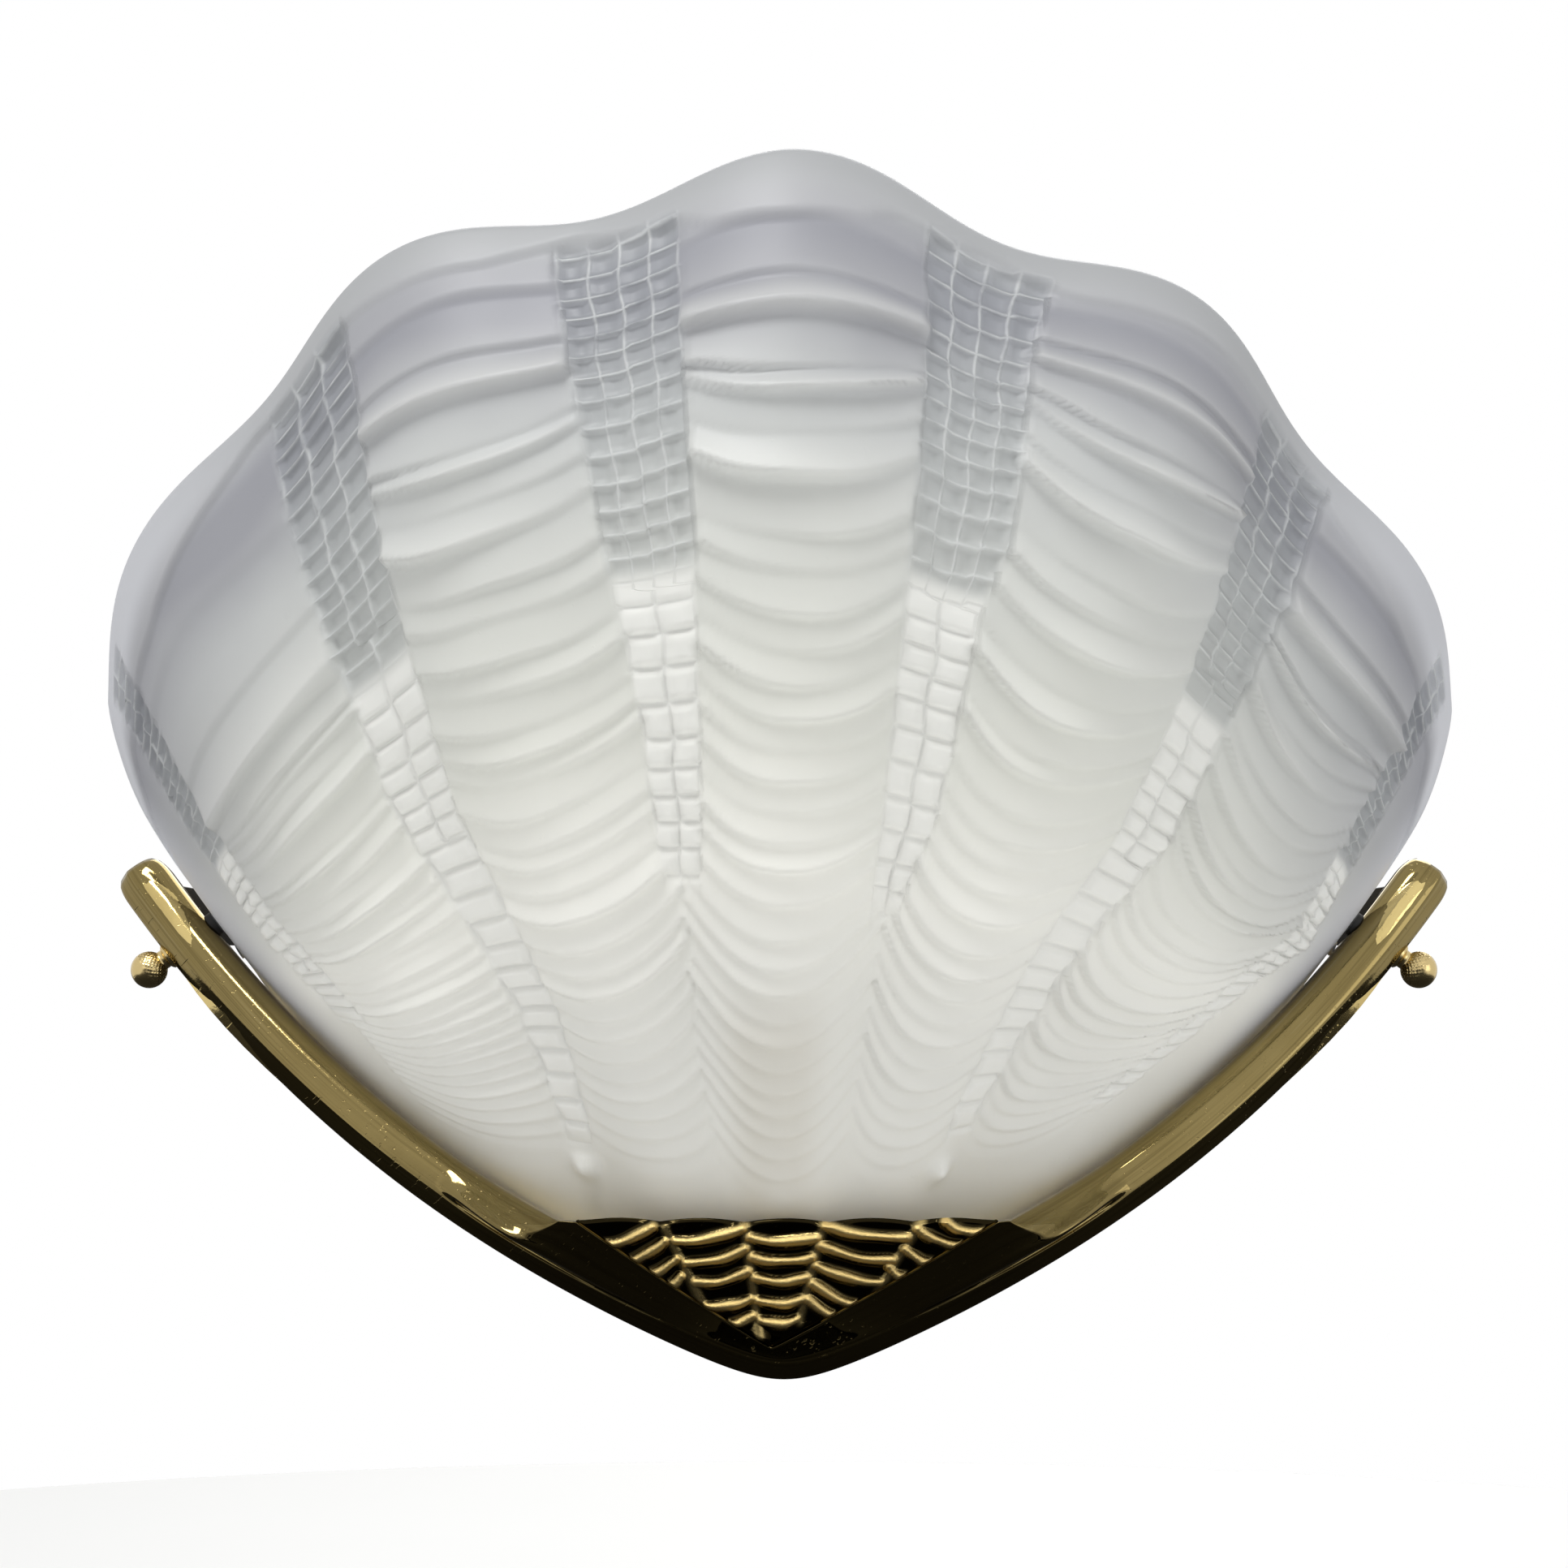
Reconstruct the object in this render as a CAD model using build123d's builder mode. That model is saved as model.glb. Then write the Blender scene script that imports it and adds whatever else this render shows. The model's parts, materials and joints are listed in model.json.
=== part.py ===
# Shell wall sconce: a pressed glass scallop shade standing in a cast brass V-shaped cradle, with a
# lampholder and lamp behind it on a steel wall plate.
# Millimetres. X to the right, Z up, the wall is the plane y = 0 and the front faces -Y, so a point at
# depth d from the wall has y = -d. The origin is the middle of the two wall fixing holes.

import os
from math import cos, pi, radians, sin, sqrt

from build123d import *

os.makedirs("parts", exist_ok=True)

# ------------------------------------------------------------------ driving dimensions: cradle
ARM_REACH = 141.0        # from the middle of the V to the end of each arm
ARM_DEPTH = 12.0         # depth of the bar's centreline at the arm ends
PROW_DEPTH = 52.0        # depth of the bar's centreline at the point of the V
PROW_Z = -88.3           # height of the bar's centreline at the point of the V
PROW_ROUNDING = 8.0      # softens the point of the V
PROW_SLOPE = 0.45        # rise of the V beside its point
ARM_SLOPE = 1.28         # rise of the V at the arm ends
BAR_HALF_HEIGHT = 5.5    # bar section, seen from the front
BAR_RIDGE = 4.5          # the ridge stands this far in front of the centreline
BAR_CHIN = 3.0           # the lower facet runs back this far below the ridge
LIP_BACK = 3.0           # back of the lip that hides the foot of the glass
LEDGE_DEPTH = 8.0        # ledge behind the lip that carries the glass
LEDGE_THICKNESS = 7.0
# sections of the bar, as shares of the reach
BAR_STATIONS = (0.0, 0.035, 0.085, 0.18, 0.32, 0.5, 0.71, 0.89)
RIDGE_DROP = 0.3         # the ridge lies this share of the half height below the centreline
CROWN_RISE = 0.5         # the rounded face bulges at this share of the half height
CROWN_REACH = 0.8        # and by this share of the ridge
BROW_REACH = 0.1         # and ends above at this share of the ridge
ARM_END_ROUNDING = 2.0   # the arm ends are drawn in over this length
ARM_END_SHRINK = 0.72    # down to this share of the section

NET_TOP_Z = -60.6        # upper edge of the net panel
NET_HALF_WIDTH = 46.0
NET_THICKNESS = 2.5
NET_LEAN = 0.35          # the panel leans forward this much per millimetre of height
NET_INSET = 0.0          # the panel starts this far behind the bar's centreline
NET_STATIONS = 6         # points along each half of its lower edge

TONGUE_WIDTH = 16.0      # cast tongue from the prow back to the wall plate
TONGUE_RISE = 2.5        # underside of the tongue above the underside of the bar
TONGUE_THICKNESS = 4.0
BOSS_RADIUS = 4.5        # bosses that take the three cradle screws
BOSS_INSET = 4.7         # the upper bosses' axes before the arm ends
BOSS_DROP = 1.95         # and below the bar's centreline
FOOT_BOSS_RISE = 4.6     # centre of the lower boss above the underside of the tongue
FOOT_BOSS_DEPTH = 13.0
FOOT_BOSS_WIDTH = 11.0
FOOT_BOSS_ROUNDING = 1.5

# ------------------------------------------------------------------ driving dimensions: shade
FAN_Z = -64.0            # centre of the fan of lobes, seen from the front
FAN_ANGLE = 54.9         # angle from the middle of the fan to its outermost rib
FAN_END = 1.16           # side edges of the fan, counting the outermost rib as 1
RIB_TURNS = (0.211, 0.6, 1.0)
RIM_RADIUS = 213.6       # fan centre to the rim at the middle
RIM_FALL = 37.0          # the rim draws in by this much at the outermost rib
RIM_SCALLOP = 3.9        # half height of the scallops along the rim
RIM_SKEW = 0.03          # the scallops sit this much to one side of the lobes
RIM_TILT = 3.4           # the rim draws in on one side and swells on the other
RIM_CORNER = 32.9        # extra draw-in at the side corners
RIM_DEPTH = 92.0
RIM_END_DEPTH = 14.0
BELLY = 44.0             # forward swelling below the rim
LOBE_SWELL = 5.0         # lobes stand this far out from the ribs
LOBE_START = 0.35        # share of the rise over which the swell grows
GLASS_THICKNESS = 4.0
GLASS_SETBACK = 6.5      # foot of the glass behind the bar's centreline
FOOT_RETREAT = 3.0       # and this much further back under the outer ribs
RETREAT_POWER = 4.0
GLASS_SEAT = 2.2         # foot of the glass above the bar's centreline at the prow
GLASS_GAPE = 12.0        # and this much higher at the arm ends
GAPE_POWER = 8.0
GLASS_ROLL = -0.12       # the rim stands a little turned over the foot
GLASS_SHIFT = 0.8        # and a little to one side
FOOT_SPREAD = 0.411      # foot of a rib along the arm, as a share of the arm's reach for each turn
FOOT_SPREAD_CUBE = 0.071 # and for the cube of the turn
FOOT_CORNER = 0.319      # and more beyond the corner of the fan
FOOT_CORNER_TURN = 0.85
RIM_CORNER_TURN = 0.94   # the rim's side corners start here
RIM_CORNER_POWER = 1.5
SCALLOP_FADE = 1.0       # the scallops fade by this share towards the sides
BOWL_PULL = 0.27         # strength of the bowl's curve, as a share of its height
BOWL_LOWER_SPLAY = 33.0  # angle by which the outer ribs start sideways
BOWL_UPPER_SPLAY = 32.0  # angle by which they arrive sideways
FOOT_LEAN = 4.0          # the glass leaves its foot this far forward at the sides
FOOT_BELLY = 21.0        # and this much further in the middle
RIM_LEAN = 6.0           # the glass reaches the rim from this far forward at the sides
BOWL_DROP = 11.0         # middle of the foot below the fan's centre
GRID_ACROSS = 73
GRID_UP = 17

# ------------------------------------------------------------------ driving dimensions: wall plate
PLATE_THICKNESS = 2.5
STRAP_HEIGHT = 11.0
STRAP_HALF_LENGTH = 122.0
PLATE_CENTRE_WIDTH = 70.0
PLATE_CENTRE_HEIGHT = 28.0
PLATE_CORNER = 4.0
STRAP_END_MARGIN = 0.5   # the strap ends are this much larger than the bosses they carry
LIMB_WIDTH = 24.0
FIXING_SPACING = 50.8
FIXING_HOLE_RADIUS = 2.25
CABLE_HOLE_RADIUS = 5.0
GROMMET_BORE_RADIUS = 3.5
GROMMET_FLANGE_RADIUS = 6.8
GROMMET_FLANGE = 2.0

# ------------------------------------------------------------------ driving dimensions: fasteners
M4_RADIUS = 2.0
M4_PITCH = 0.7
M4_HEAD_RADIUS = 3.8
M3_RADIUS = 1.5
THREAD_GAP = 0.05        # between a screw and the hole it is driven into
SCREW_LENGTH = 10.0
SCREW_TIP_ROOM = 0.5     # the holes are this much deeper than the screws
RIVET_RADIUS = 1.6
RIVET_HEAD_RADIUS = 2.6
RIVET_HEAD = 1.2
RIVET_HEAD_TAPER = 25.0
RIVET_PITCH = 12.0
RIVET_RISE = 0.6         # share of the bracket's upright at which the rivets sit

# ------------------------------------------------------------------ driving dimensions: thumb screws
THUMB_ANGLE = 35.0       # the screws point this far up towards the glass
THUMB_BALL_INSET = 3.0   # centres of the balls before the arm ends
THUMB_BALL_DROP = 17.25  # and below the bar's centreline
THUMB_BALL_RADIUS = 4.0
THUMB_BALL_FORWARD = 5.0 # and in front of the centreline at the arm ends
COLLAR_RADIUS = 2.9
COLLAR_LENGTH = 1.6
COLLAR_START = 5.0
NECK_RADIUS = 2.1        # narrow neck between the ball and its collar
NECK_START = 0.8         # share of the ball's radius at which the neck leaves the ball
SPOTFACE_RADIUS = 3.6
PAD_RADIUS = 2.7         # rubber disc on the tip of each screw
PAD_LENGTH = 1.8
PAD_SOCKET = 0.8
PAD_CLEARANCE = 0.3      # between the disc and the glass
PAD_BORE_GAP = 0.35      # between the disc and its recess in the bar
PAD_TURNS = 4            # turns that the screw can be drawn back
THUMB_RUNNING_GAP = 0.06
THUMB_LENGTH = 25.0
SPOTFACE_REACH = 6.8
REACH_STEPS = 8
THUMB_FIRST_REACH = 13.0 # where the search for the glass starts

# ------------------------------------------------------------------ driving dimensions: lampholder
HOLDER_DEPTH = 31.0
SHELF_Z = -65.0          # underside of the bracket's shelf
BRACKET_THICKNESS = 2.0
BRACKET_WIDTH = 24.0
BRACKET_RISE = 26.0
SHELF_REACH = 44.0
SHELF_CORNER = 5.0
M10_RADIUS = 5.0
NIPPLE_BORE_RADIUS = 3.5
NIPPLE_LENGTH = 15.0
NIPPLE_BELOW = 6.5       # nipple below the shelf
NIPPLE_CHAMFER = 0.5
NUT_FLATS = 14.0
NUT_HEIGHT = 3.0
WASHER_THICKNESS = 0.8
WASHER_TEETH = 8
TOOTH_LENGTH = 2.4
TOOTH_WIDTH = 2.0
CAP_RADIUS = 12.0
CAP_HEIGHT = 10.0
CAP_NECK = 6.0           # thickness of the cap's threaded base
CAP_CHAMFER = 2.0
BODY_RADIUS = 14.0
BODY_HEIGHT = 34.0
BODY_WALL = 2.0
BODY_LIP = 0.6           # rounding of the body's mouth
RING_RADIUS = 17.0
RING_HEIGHT = 6.0
RING_RISE = 20.0
RING_ROUNDING = 1.2
INSERT_HEIGHT = 6.0
THREAD_SLEEVE_RADIUS = 8.0
THREAD_SLEEVE_WALL = 0.6
THREAD_SLEEVE_HEIGHT = 22.0
CONTACT_THICKNESS = 0.6
CONTACT_LENGTH = 9.0
CONTACT_WIDTH = 3.4
CONTACT_DOT_RADIUS = 1.6
LAMP_CAP_RADIUS = 6.8
LAMP_CAP_LENGTH = 23.0
LAMP_CAP_CHAMFER = 2.5
LAMP_CONTACT_RADIUS = 2.6
LAMP_CONTACT_HEIGHT = 1.6
LAMP_CONTACT_ROUNDING = 0.5
LAMP_SEAT_GAP = 0.2
LAMP_RADIUS = 22.5
LAMP_NECK_RADIUS = 9.5
LAMP_NECK_LENGTH = 7.0
LAMP_GLASS_WALL = 0.8

# ------------------------------------------------------------------ driving dimensions: terminals
BLOCK_WIDTH = 21.0
BLOCK_HEIGHT = 12.0
BLOCK_CLEARANCE = 1.0    # between the block's screw and the holder's ring
BLOCK_ROUNDING = 1.5
BLOCK_TOP_Z = -20.0
BLOCK_POLE_PITCH = 9.0
BLOCK_SCREW_PITCH = 6.4
WIRE_BORE_RADIUS = 1.6
WIRE_BORE_RISE = 0.4     # share of the block's depth at which the wires enter
BLOCK_SCREW_SINK = 0.5   # the terminal screws sit this far below the block's face
BLOCK_SCREW_HEAD_RADIUS = 2.7
BLOCK_SCREW_HEAD = 1.5
BLOCK_SCREW_TAPER = 10.0
EARTH_X = 15.0
EARTH_Z = -8.5
EARTH_WASHER_RADIUS = 4.4
EARTH_WASHER_THICKNESS = 0.8
EARTH_HEAD = 2.2
EARTH_SLOT_WIDTH = 0.9
EARTH_SLOT_FLOOR = 1.0


# ------------------------------------------------------------------ the V and the fan as formulas
def bar_height(x):
    """Height of the bar's centreline at a distance x from the middle."""
    bend = (ARM_SLOPE - PROW_SLOPE) / (3 * ARM_REACH**2)
    reach = sqrt(x * x + PROW_ROUNDING**2)
    return PROW_Z + PROW_SLOPE * (reach - PROW_ROUNDING) + bend * (reach**3 - PROW_ROUNDING**3)


def bar_depth(x):
    """Depth of the bar's centreline at a distance x from the middle."""
    return PROW_DEPTH - (PROW_DEPTH - ARM_DEPTH) * (x / ARM_REACH) ** 2


def bar_point(x):
    return Vector(x, -bar_depth(x), bar_height(x))


def bar_plane(x):
    """Plane across the bar: local X forward, local Y up and square to the bar."""
    step = 0.01
    along = (bar_point(x + step) - bar_point(x - step)).normalized()
    forward = Vector(0, -1, 0)
    forward = (forward - along * forward.dot(along)).normalized()
    return Plane(origin=bar_point(x), x_dir=forward, z_dir=along * -1)


def lobe_swell(turn):
    """0 on a rib and 1 in the middle of a lobe."""
    edges = (-RIB_TURNS[0],) + RIB_TURNS
    for start, end in zip(edges, edges[1:]):
        if abs(turn) < end:
            return (1 - cos(2 * pi * (abs(turn) - start) / (end - start))) / 2
    return 0.0


def foot_point(turn):
    """Foot of the glass, behind the lip of the bar."""
    side = -1 if turn < 0 else 1
    turn = abs(turn)
    corner = max(0, turn - FOOT_CORNER_TURN) / (FAN_END - FOOT_CORNER_TURN)
    x = ARM_REACH * (FOOT_SPREAD * turn + FOOT_SPREAD_CUBE * turn**3 + FOOT_CORNER * corner**2)
    plane = bar_plane(x)
    seat = plane.origin + plane.y_dir * (GLASS_SEAT + GLASS_GAPE * (x / ARM_REACH) ** GAPE_POWER)
    setback = GLASS_SETBACK + FOOT_RETREAT * min(turn, 1) ** RETREAT_POWER
    return Vector(side * seat.X, -(bar_depth(x) - setback), seat.Z)


def rim_point(turn):
    """Rim of the glass, on a scalloped fan about (0, FAN_Z)."""
    spread = min(abs(turn), 1)
    radius = RIM_RADIUS - RIM_FALL * turn**2
    radius += RIM_SCALLOP * (1 - SCALLOP_FADE * spread) * (2 * lobe_swell(turn - RIM_SKEW) - 1)
    radius -= RIM_TILT * sin(pi * turn / FAN_END)
    corner = max(0, abs(turn) - RIM_CORNER_TURN) / (FAN_END - RIM_CORNER_TURN)
    radius -= RIM_CORNER * corner**RIM_CORNER_POWER
    angle = radians(FAN_ANGLE * turn)
    depth = RIM_END_DEPTH + (RIM_DEPTH - RIM_END_DEPTH) * cos(pi / 2 * turn / FAN_END)
    return Vector(radius * sin(angle), -depth, FAN_Z + radius * cos(angle))


def bowl_point(turn, rise):
    """Plain bowl without lobes: a cubic curve from the foot, forward over the belly, to the rim."""
    side = -1 if turn < 0 else 1
    spread = min(abs(turn), 1)
    middle = max(0.0, cos(pi / 2 * turn / FAN_END))
    foot = foot_point(turn)
    rim = rim_point(turn)
    chord = sqrt((rim.X - foot.X) ** 2 + (rim.Z - foot.Z) ** 2)
    pull = BOWL_PULL * chord
    lower = radians(BOWL_LOWER_SPLAY * spread**3)
    upper = radians(BOWL_UPPER_SPLAY * spread**2)
    share = chord / (RIM_RADIUS + BOWL_DROP)
    first_bulge = (FOOT_LEAN + FOOT_BELLY * middle) * share
    second_bulge = (RIM_LEAN + BELLY * middle) * share
    first = foot + Vector(side * pull * sin(lower), -first_bulge, pull * cos(lower))
    second = rim - Vector(side * pull * sin(upper), second_bulge, pull * cos(upper))
    left = 1 - rise
    return (
        foot * left**3
        + first * (3 * left**2 * rise)
        + second * (3 * left * rise**2)
        + rim * rise**3
    )


def shade_point(turn, rise, inset):
    """Point of the shade's outer surface with its lobes, or inset below it."""
    step = 1e-3
    across = bowl_point(min(turn + step, FAN_END), rise) - bowl_point(max(turn - step, -FAN_END), rise)
    upward = bowl_point(turn, min(rise + step, 1)) - bowl_point(turn, max(rise - step, 0))
    outward = across.cross(upward).normalized()
    swell = LOBE_SWELL * lobe_swell(turn) * min(1, rise / LOBE_START)
    point = bowl_point(turn, rise) + outward * (swell - inset)
    roll = radians(GLASS_ROLL * rise)
    x = point.X * cos(roll) + (point.Z - FAN_Z) * sin(roll) + GLASS_SHIFT * rise
    z = FAN_Z - point.X * sin(roll) + (point.Z - FAN_Z) * cos(roll)
    return Vector(x, point.Y, z)


def shade_face(inset):
    """Smooth face through the shade's points."""
    turns = [FAN_END * (2 * i / (GRID_ACROSS - 1) - 1) for i in range(GRID_ACROSS)]
    rises = [j / (GRID_UP - 1) for j in range(GRID_UP)]
    points = [[shade_point(turn, rise, inset) for rise in rises] for turn in turns]
    return Face.make_surface_from_array_of_points(points, tol=0.02)


def shade_solid():
    """Wall of glass between the outer and the inner face, closed along its four edges."""
    outer = shade_face(0)
    inner = shade_face(GLASS_THICKNESS)
    edges = []
    for edge in outer.edges():
        middle = edge.position_at(0.5)
        partner = min(inner.edges(), key=lambda other: (other.position_at(0.5) - middle).length)
        edges.append(Face.make_surface_from_curves(edge, partner))
    return Solid(Shell([outer, inner, *edges]))


def bar_section(x, shrink=1.0):
    """Sketch of the bar's section: ledge behind, lip, ridge and lower facet in front."""
    bottom = -BAR_HALF_HEIGHT * shrink
    top = BAR_HALF_HEIGHT * shrink
    ledge_top = bottom + LEDGE_THICKNESS * shrink
    ledge_back = -(LIP_BACK + LEDGE_DEPTH) * shrink
    ridge = (BAR_RIDGE * shrink, RIDGE_DROP * bottom)
    crown = (CROWN_REACH * BAR_RIDGE * shrink, CROWN_RISE * top)
    brow = (BROW_REACH * BAR_RIDGE * shrink, top)
    with BuildSketch(bar_plane(x)) as section:
        with BuildLine():
            ThreePointArc(ridge, crown, brow)
            Polyline(
                brow,
                (-LIP_BACK * shrink, top),
                (-LIP_BACK * shrink, ledge_top),
                (ledge_back, ledge_top),
                (ledge_back, bottom),
                ((BAR_RIDGE - BAR_CHIN) * shrink, bottom),
                ridge,
            )
        make_face()
    return section.sketch


def ring(plane, outer, inner):
    """Sketch of a flat ring on a plane."""
    with BuildSketch(plane) as flat_ring:
        Circle(outer)
        Circle(inner, mode=Mode.SUBTRACT)
    return flat_ring.sketch


def save(name, piece):
    piece.part.label = name
    export_step(piece.part, f"parts/{name}.step")


# ------------------------------------------------------------------ glass shade
with BuildPart() as glass_shell:
    add(shade_solid())
save("glass_shell", glass_shell)

# ------------------------------------------------------------------ cradle
front_plane = Plane(origin=(0, 0, 0), x_dir=(1, 0, 0), z_dir=(0, -1, 0))
limb_bottom_z = bar_height(0) - BAR_HALF_HEIGHT
tongue_z = limb_bottom_z + TONGUE_RISE
foot_boss_z = tongue_z + FOOT_BOSS_RISE
boss_x = ARM_REACH - BOSS_INSET
boss_z = bar_height(boss_x) - BOSS_DROP
thumb_ball_x = ARM_REACH - THUMB_BALL_INSET
thumb_ball_z = bar_height(thumb_ball_x) - THUMB_BALL_DROP
thumb_depth = ARM_DEPTH + THUMB_BALL_FORWARD
cradle_screw_places = [(-boss_x, boss_z), (boss_x, boss_z), (0, foot_boss_z)]
countersink_depth = M4_HEAD_RADIUS - M4_RADIUS
rivet_z = SHELF_Z + BRACKET_RISE * RIVET_RISE
rivet_places = [(-RIVET_PITCH / 2, rivet_z), (RIVET_PITCH / 2, rivet_z)]
block_z = BLOCK_TOP_Z - BLOCK_HEIGHT / 2
block_poles = [-BLOCK_POLE_PITCH / 2, BLOCK_POLE_PITCH / 2]
block_depth = HOLDER_DEPTH - RING_RADIUS - BLOCK_CLEARANCE - BLOCK_SCREW_HEAD - PLATE_THICKNESS
wire_depth = PLATE_THICKNESS + block_depth * WIRE_BORE_RISE
block_screw_places = [
    (x, block_z + offset) for x in block_poles for offset in (-BLOCK_SCREW_PITCH / 2, BLOCK_SCREW_PITCH / 2)
]


def thumb_plane(side):
    """Plane at a thumb screw's ball, facing up its axis towards the glass."""
    aim = (-side * cos(radians(THUMB_ANGLE)), 0, sin(radians(THUMB_ANGLE)))
    return Plane(origin=(side * thumb_ball_x, -thumb_depth, thumb_ball_z), z_dir=aim)


def pad_disc(side, reach):
    """Rubber disc whose back stands at a reach along the screw's axis from the ball's centre."""
    with BuildPart() as disc:
        with BuildSketch(thumb_plane(side).offset(reach)):
            Circle(PAD_RADIUS)
        extrude(amount=PAD_LENGTH)
    return disc.part


def thumb_reach(side):
    """Reach at which the disc stands PAD_CLEARANCE from the glass, found by closing the gap in steps."""
    reach = THUMB_FIRST_REACH
    for _ in range(REACH_STEPS):
        reach += pad_disc(side, reach).distance_to(glass_shell.part) - PAD_CLEARANCE
    return reach


# Net panel: an upright wall on the bar's bow, leaning forward, cut to the V.
with BuildPart() as net_wall:
    with BuildSketch(Plane.XY.offset(limb_bottom_z)):
        with BuildLine():
            bow_end = -(bar_depth(NET_HALF_WIDTH) - NET_INSET)
            bow_middle = -(2 * (PROW_DEPTH - NET_INSET)) - bow_end
            front_bow = Bezier((-NET_HALF_WIDTH, bow_end), (0, bow_middle), (NET_HALF_WIDTH, bow_end))
            back_bow = Bezier(
                (-NET_HALF_WIDTH, bow_end + NET_THICKNESS),
                (0, bow_middle + NET_THICKNESS),
                (NET_HALF_WIDTH, bow_end + NET_THICKNESS),
            )
            Line(front_bow @ 0, back_bow @ 0)
            Line(front_bow @ 1, back_bow @ 1)
        make_face()
    extrude(amount=(NET_TOP_Z - limb_bottom_z) * sqrt(1 + NET_LEAN**2), dir=(0, -NET_LEAN, 1))
    with BuildSketch(front_plane):
        with BuildLine():
            v_stations = [NET_HALF_WIDTH * i / NET_STATIONS for i in range(-NET_STATIONS, NET_STATIONS + 1)]
            under = Polyline([(x, bar_height(x)) for x in v_stations])
            Polyline(under @ 0, (-NET_HALF_WIDTH, NET_TOP_Z), (NET_HALF_WIDTH, NET_TOP_Z), under @ 1)
        make_face()
    extrude(amount=2 * PROW_DEPTH, mode=Mode.INTERSECT)

thumb_reaches = {side: thumb_reach(side) for side in (-1, 1)}
pad_travel = PAD_TURNS * M4_PITCH

with BuildPart() as cradle:
    half = [share * ARM_REACH for share in BAR_STATIONS]
    stations = [-x for x in half[:0:-1]] + half
    shoulder = ARM_REACH - ARM_END_ROUNDING
    loft([bar_section(x) for x in [-shoulder] + stations + [shoulder]])
    for side in (-1, 1):
        loft([bar_section(side * shoulder), bar_section(side * ARM_REACH, ARM_END_SHRINK)], ruled=True)
    add(net_wall.part)
    with BuildSketch(Plane.XY.offset(tongue_z)):
        with Locations((0, -(PLATE_THICKNESS + PROW_DEPTH) / 2)):
            Rectangle(TONGUE_WIDTH, PROW_DEPTH - PLATE_THICKNESS)
    extrude(amount=TONGUE_THICKNESS)
    with BuildSketch(front_plane.offset(PLATE_THICKNESS)):
        with Locations((0, foot_boss_z)):
            RectangleRounded(FOOT_BOSS_WIDTH, 2 * FOOT_BOSS_RISE, FOOT_BOSS_ROUNDING)
    extrude(amount=FOOT_BOSS_DEPTH - PLATE_THICKNESS)
    with BuildSketch(front_plane.offset(PLATE_THICKNESS)):
        with Locations((-boss_x, boss_z), (boss_x, boss_z)):
            Circle(BOSS_RADIUS)
    extrude(amount=bar_depth(boss_x) - PLATE_THICKNESS)
    with BuildSketch(front_plane.offset(PLATE_THICKNESS)):
        with Locations(*cradle_screw_places):
            Circle(M4_RADIUS + THREAD_GAP)
    extrude(amount=SCREW_LENGTH - PLATE_THICKNESS + SCREW_TIP_ROOM, mode=Mode.SUBTRACT)
    for side in (-1, 1):
        with BuildSketch(thumb_plane(side)):
            Circle(M4_RADIUS + THUMB_RUNNING_GAP)
        extrude(amount=THUMB_LENGTH, mode=Mode.SUBTRACT)
        with BuildSketch(thumb_plane(side)):
            Circle(SPOTFACE_RADIUS)
        extrude(amount=SPOTFACE_REACH, mode=Mode.SUBTRACT)
        with BuildSketch(thumb_plane(side).offset(thumb_reaches[side] - pad_travel - PAD_CLEARANCE)):
            Circle(PAD_RADIUS + PAD_BORE_GAP)
        extrude(amount=THUMB_LENGTH, mode=Mode.SUBTRACT)
save("cradle", cradle)

# ------------------------------------------------------------------ wall plate
# The plate's back face is the wall plane. Its outline is a strap between the arm bosses, a wider
# middle and a limb down to the lower boss.
with BuildPart() as wall_plate:
    with BuildSketch(front_plane):
        Rectangle(2 * STRAP_HALF_LENGTH, STRAP_HEIGHT)
        RectangleRounded(PLATE_CENTRE_WIDTH, PLATE_CENTRE_HEIGHT, PLATE_CORNER)
        with Locations((0, (limb_bottom_z + PLATE_CENTRE_HEIGHT / 2) / 2)):
            Rectangle(LIMB_WIDTH, PLATE_CENTRE_HEIGHT / 2 - limb_bottom_z)
        for side in (-1, 1):
            with BuildSketch(mode=Mode.PRIVATE) as strap_end:
                with Locations((side * boss_x, boss_z)):
                    Circle(BOSS_RADIUS + STRAP_END_MARGIN)
                with Locations((side * STRAP_HALF_LENGTH, 0)):
                    Circle(STRAP_HEIGHT / 2)
                make_hull()
            add(strap_end.sketch)
    extrude(amount=PLATE_THICKNESS)
    with Locations(Plane(origin=(0, 0, 0), x_dir=(1, 0, 0), z_dir=(0, 1, 0))):
        with Locations((-FIXING_SPACING / 2, 0), (FIXING_SPACING / 2, 0)):
            Hole(FIXING_HOLE_RADIUS, depth=PLATE_THICKNESS)
        Hole(CABLE_HOLE_RADIUS, depth=PLATE_THICKNESS)
    with BuildSketch(front_plane):
        with Locations((EARTH_X, EARTH_Z)):
            Circle(M4_RADIUS + THREAD_GAP)
        with Locations(*rivet_places):
            Circle(RIVET_RADIUS)
        with Locations((0, block_z)):
            Circle(M3_RADIUS + THREAD_GAP)
        with Locations(*cradle_screw_places):
            Circle(M4_RADIUS + THREAD_GAP)
    extrude(amount=PLATE_THICKNESS, mode=Mode.SUBTRACT)
    for x, z in cradle_screw_places:
        with BuildSketch(Plane(origin=(x, 0, z), z_dir=(0, -1, 0))):
            Circle(M4_HEAD_RADIUS)
        extrude(amount=countersink_depth, taper=45, mode=Mode.SUBTRACT)
save("wall_plate", wall_plate)

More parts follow.
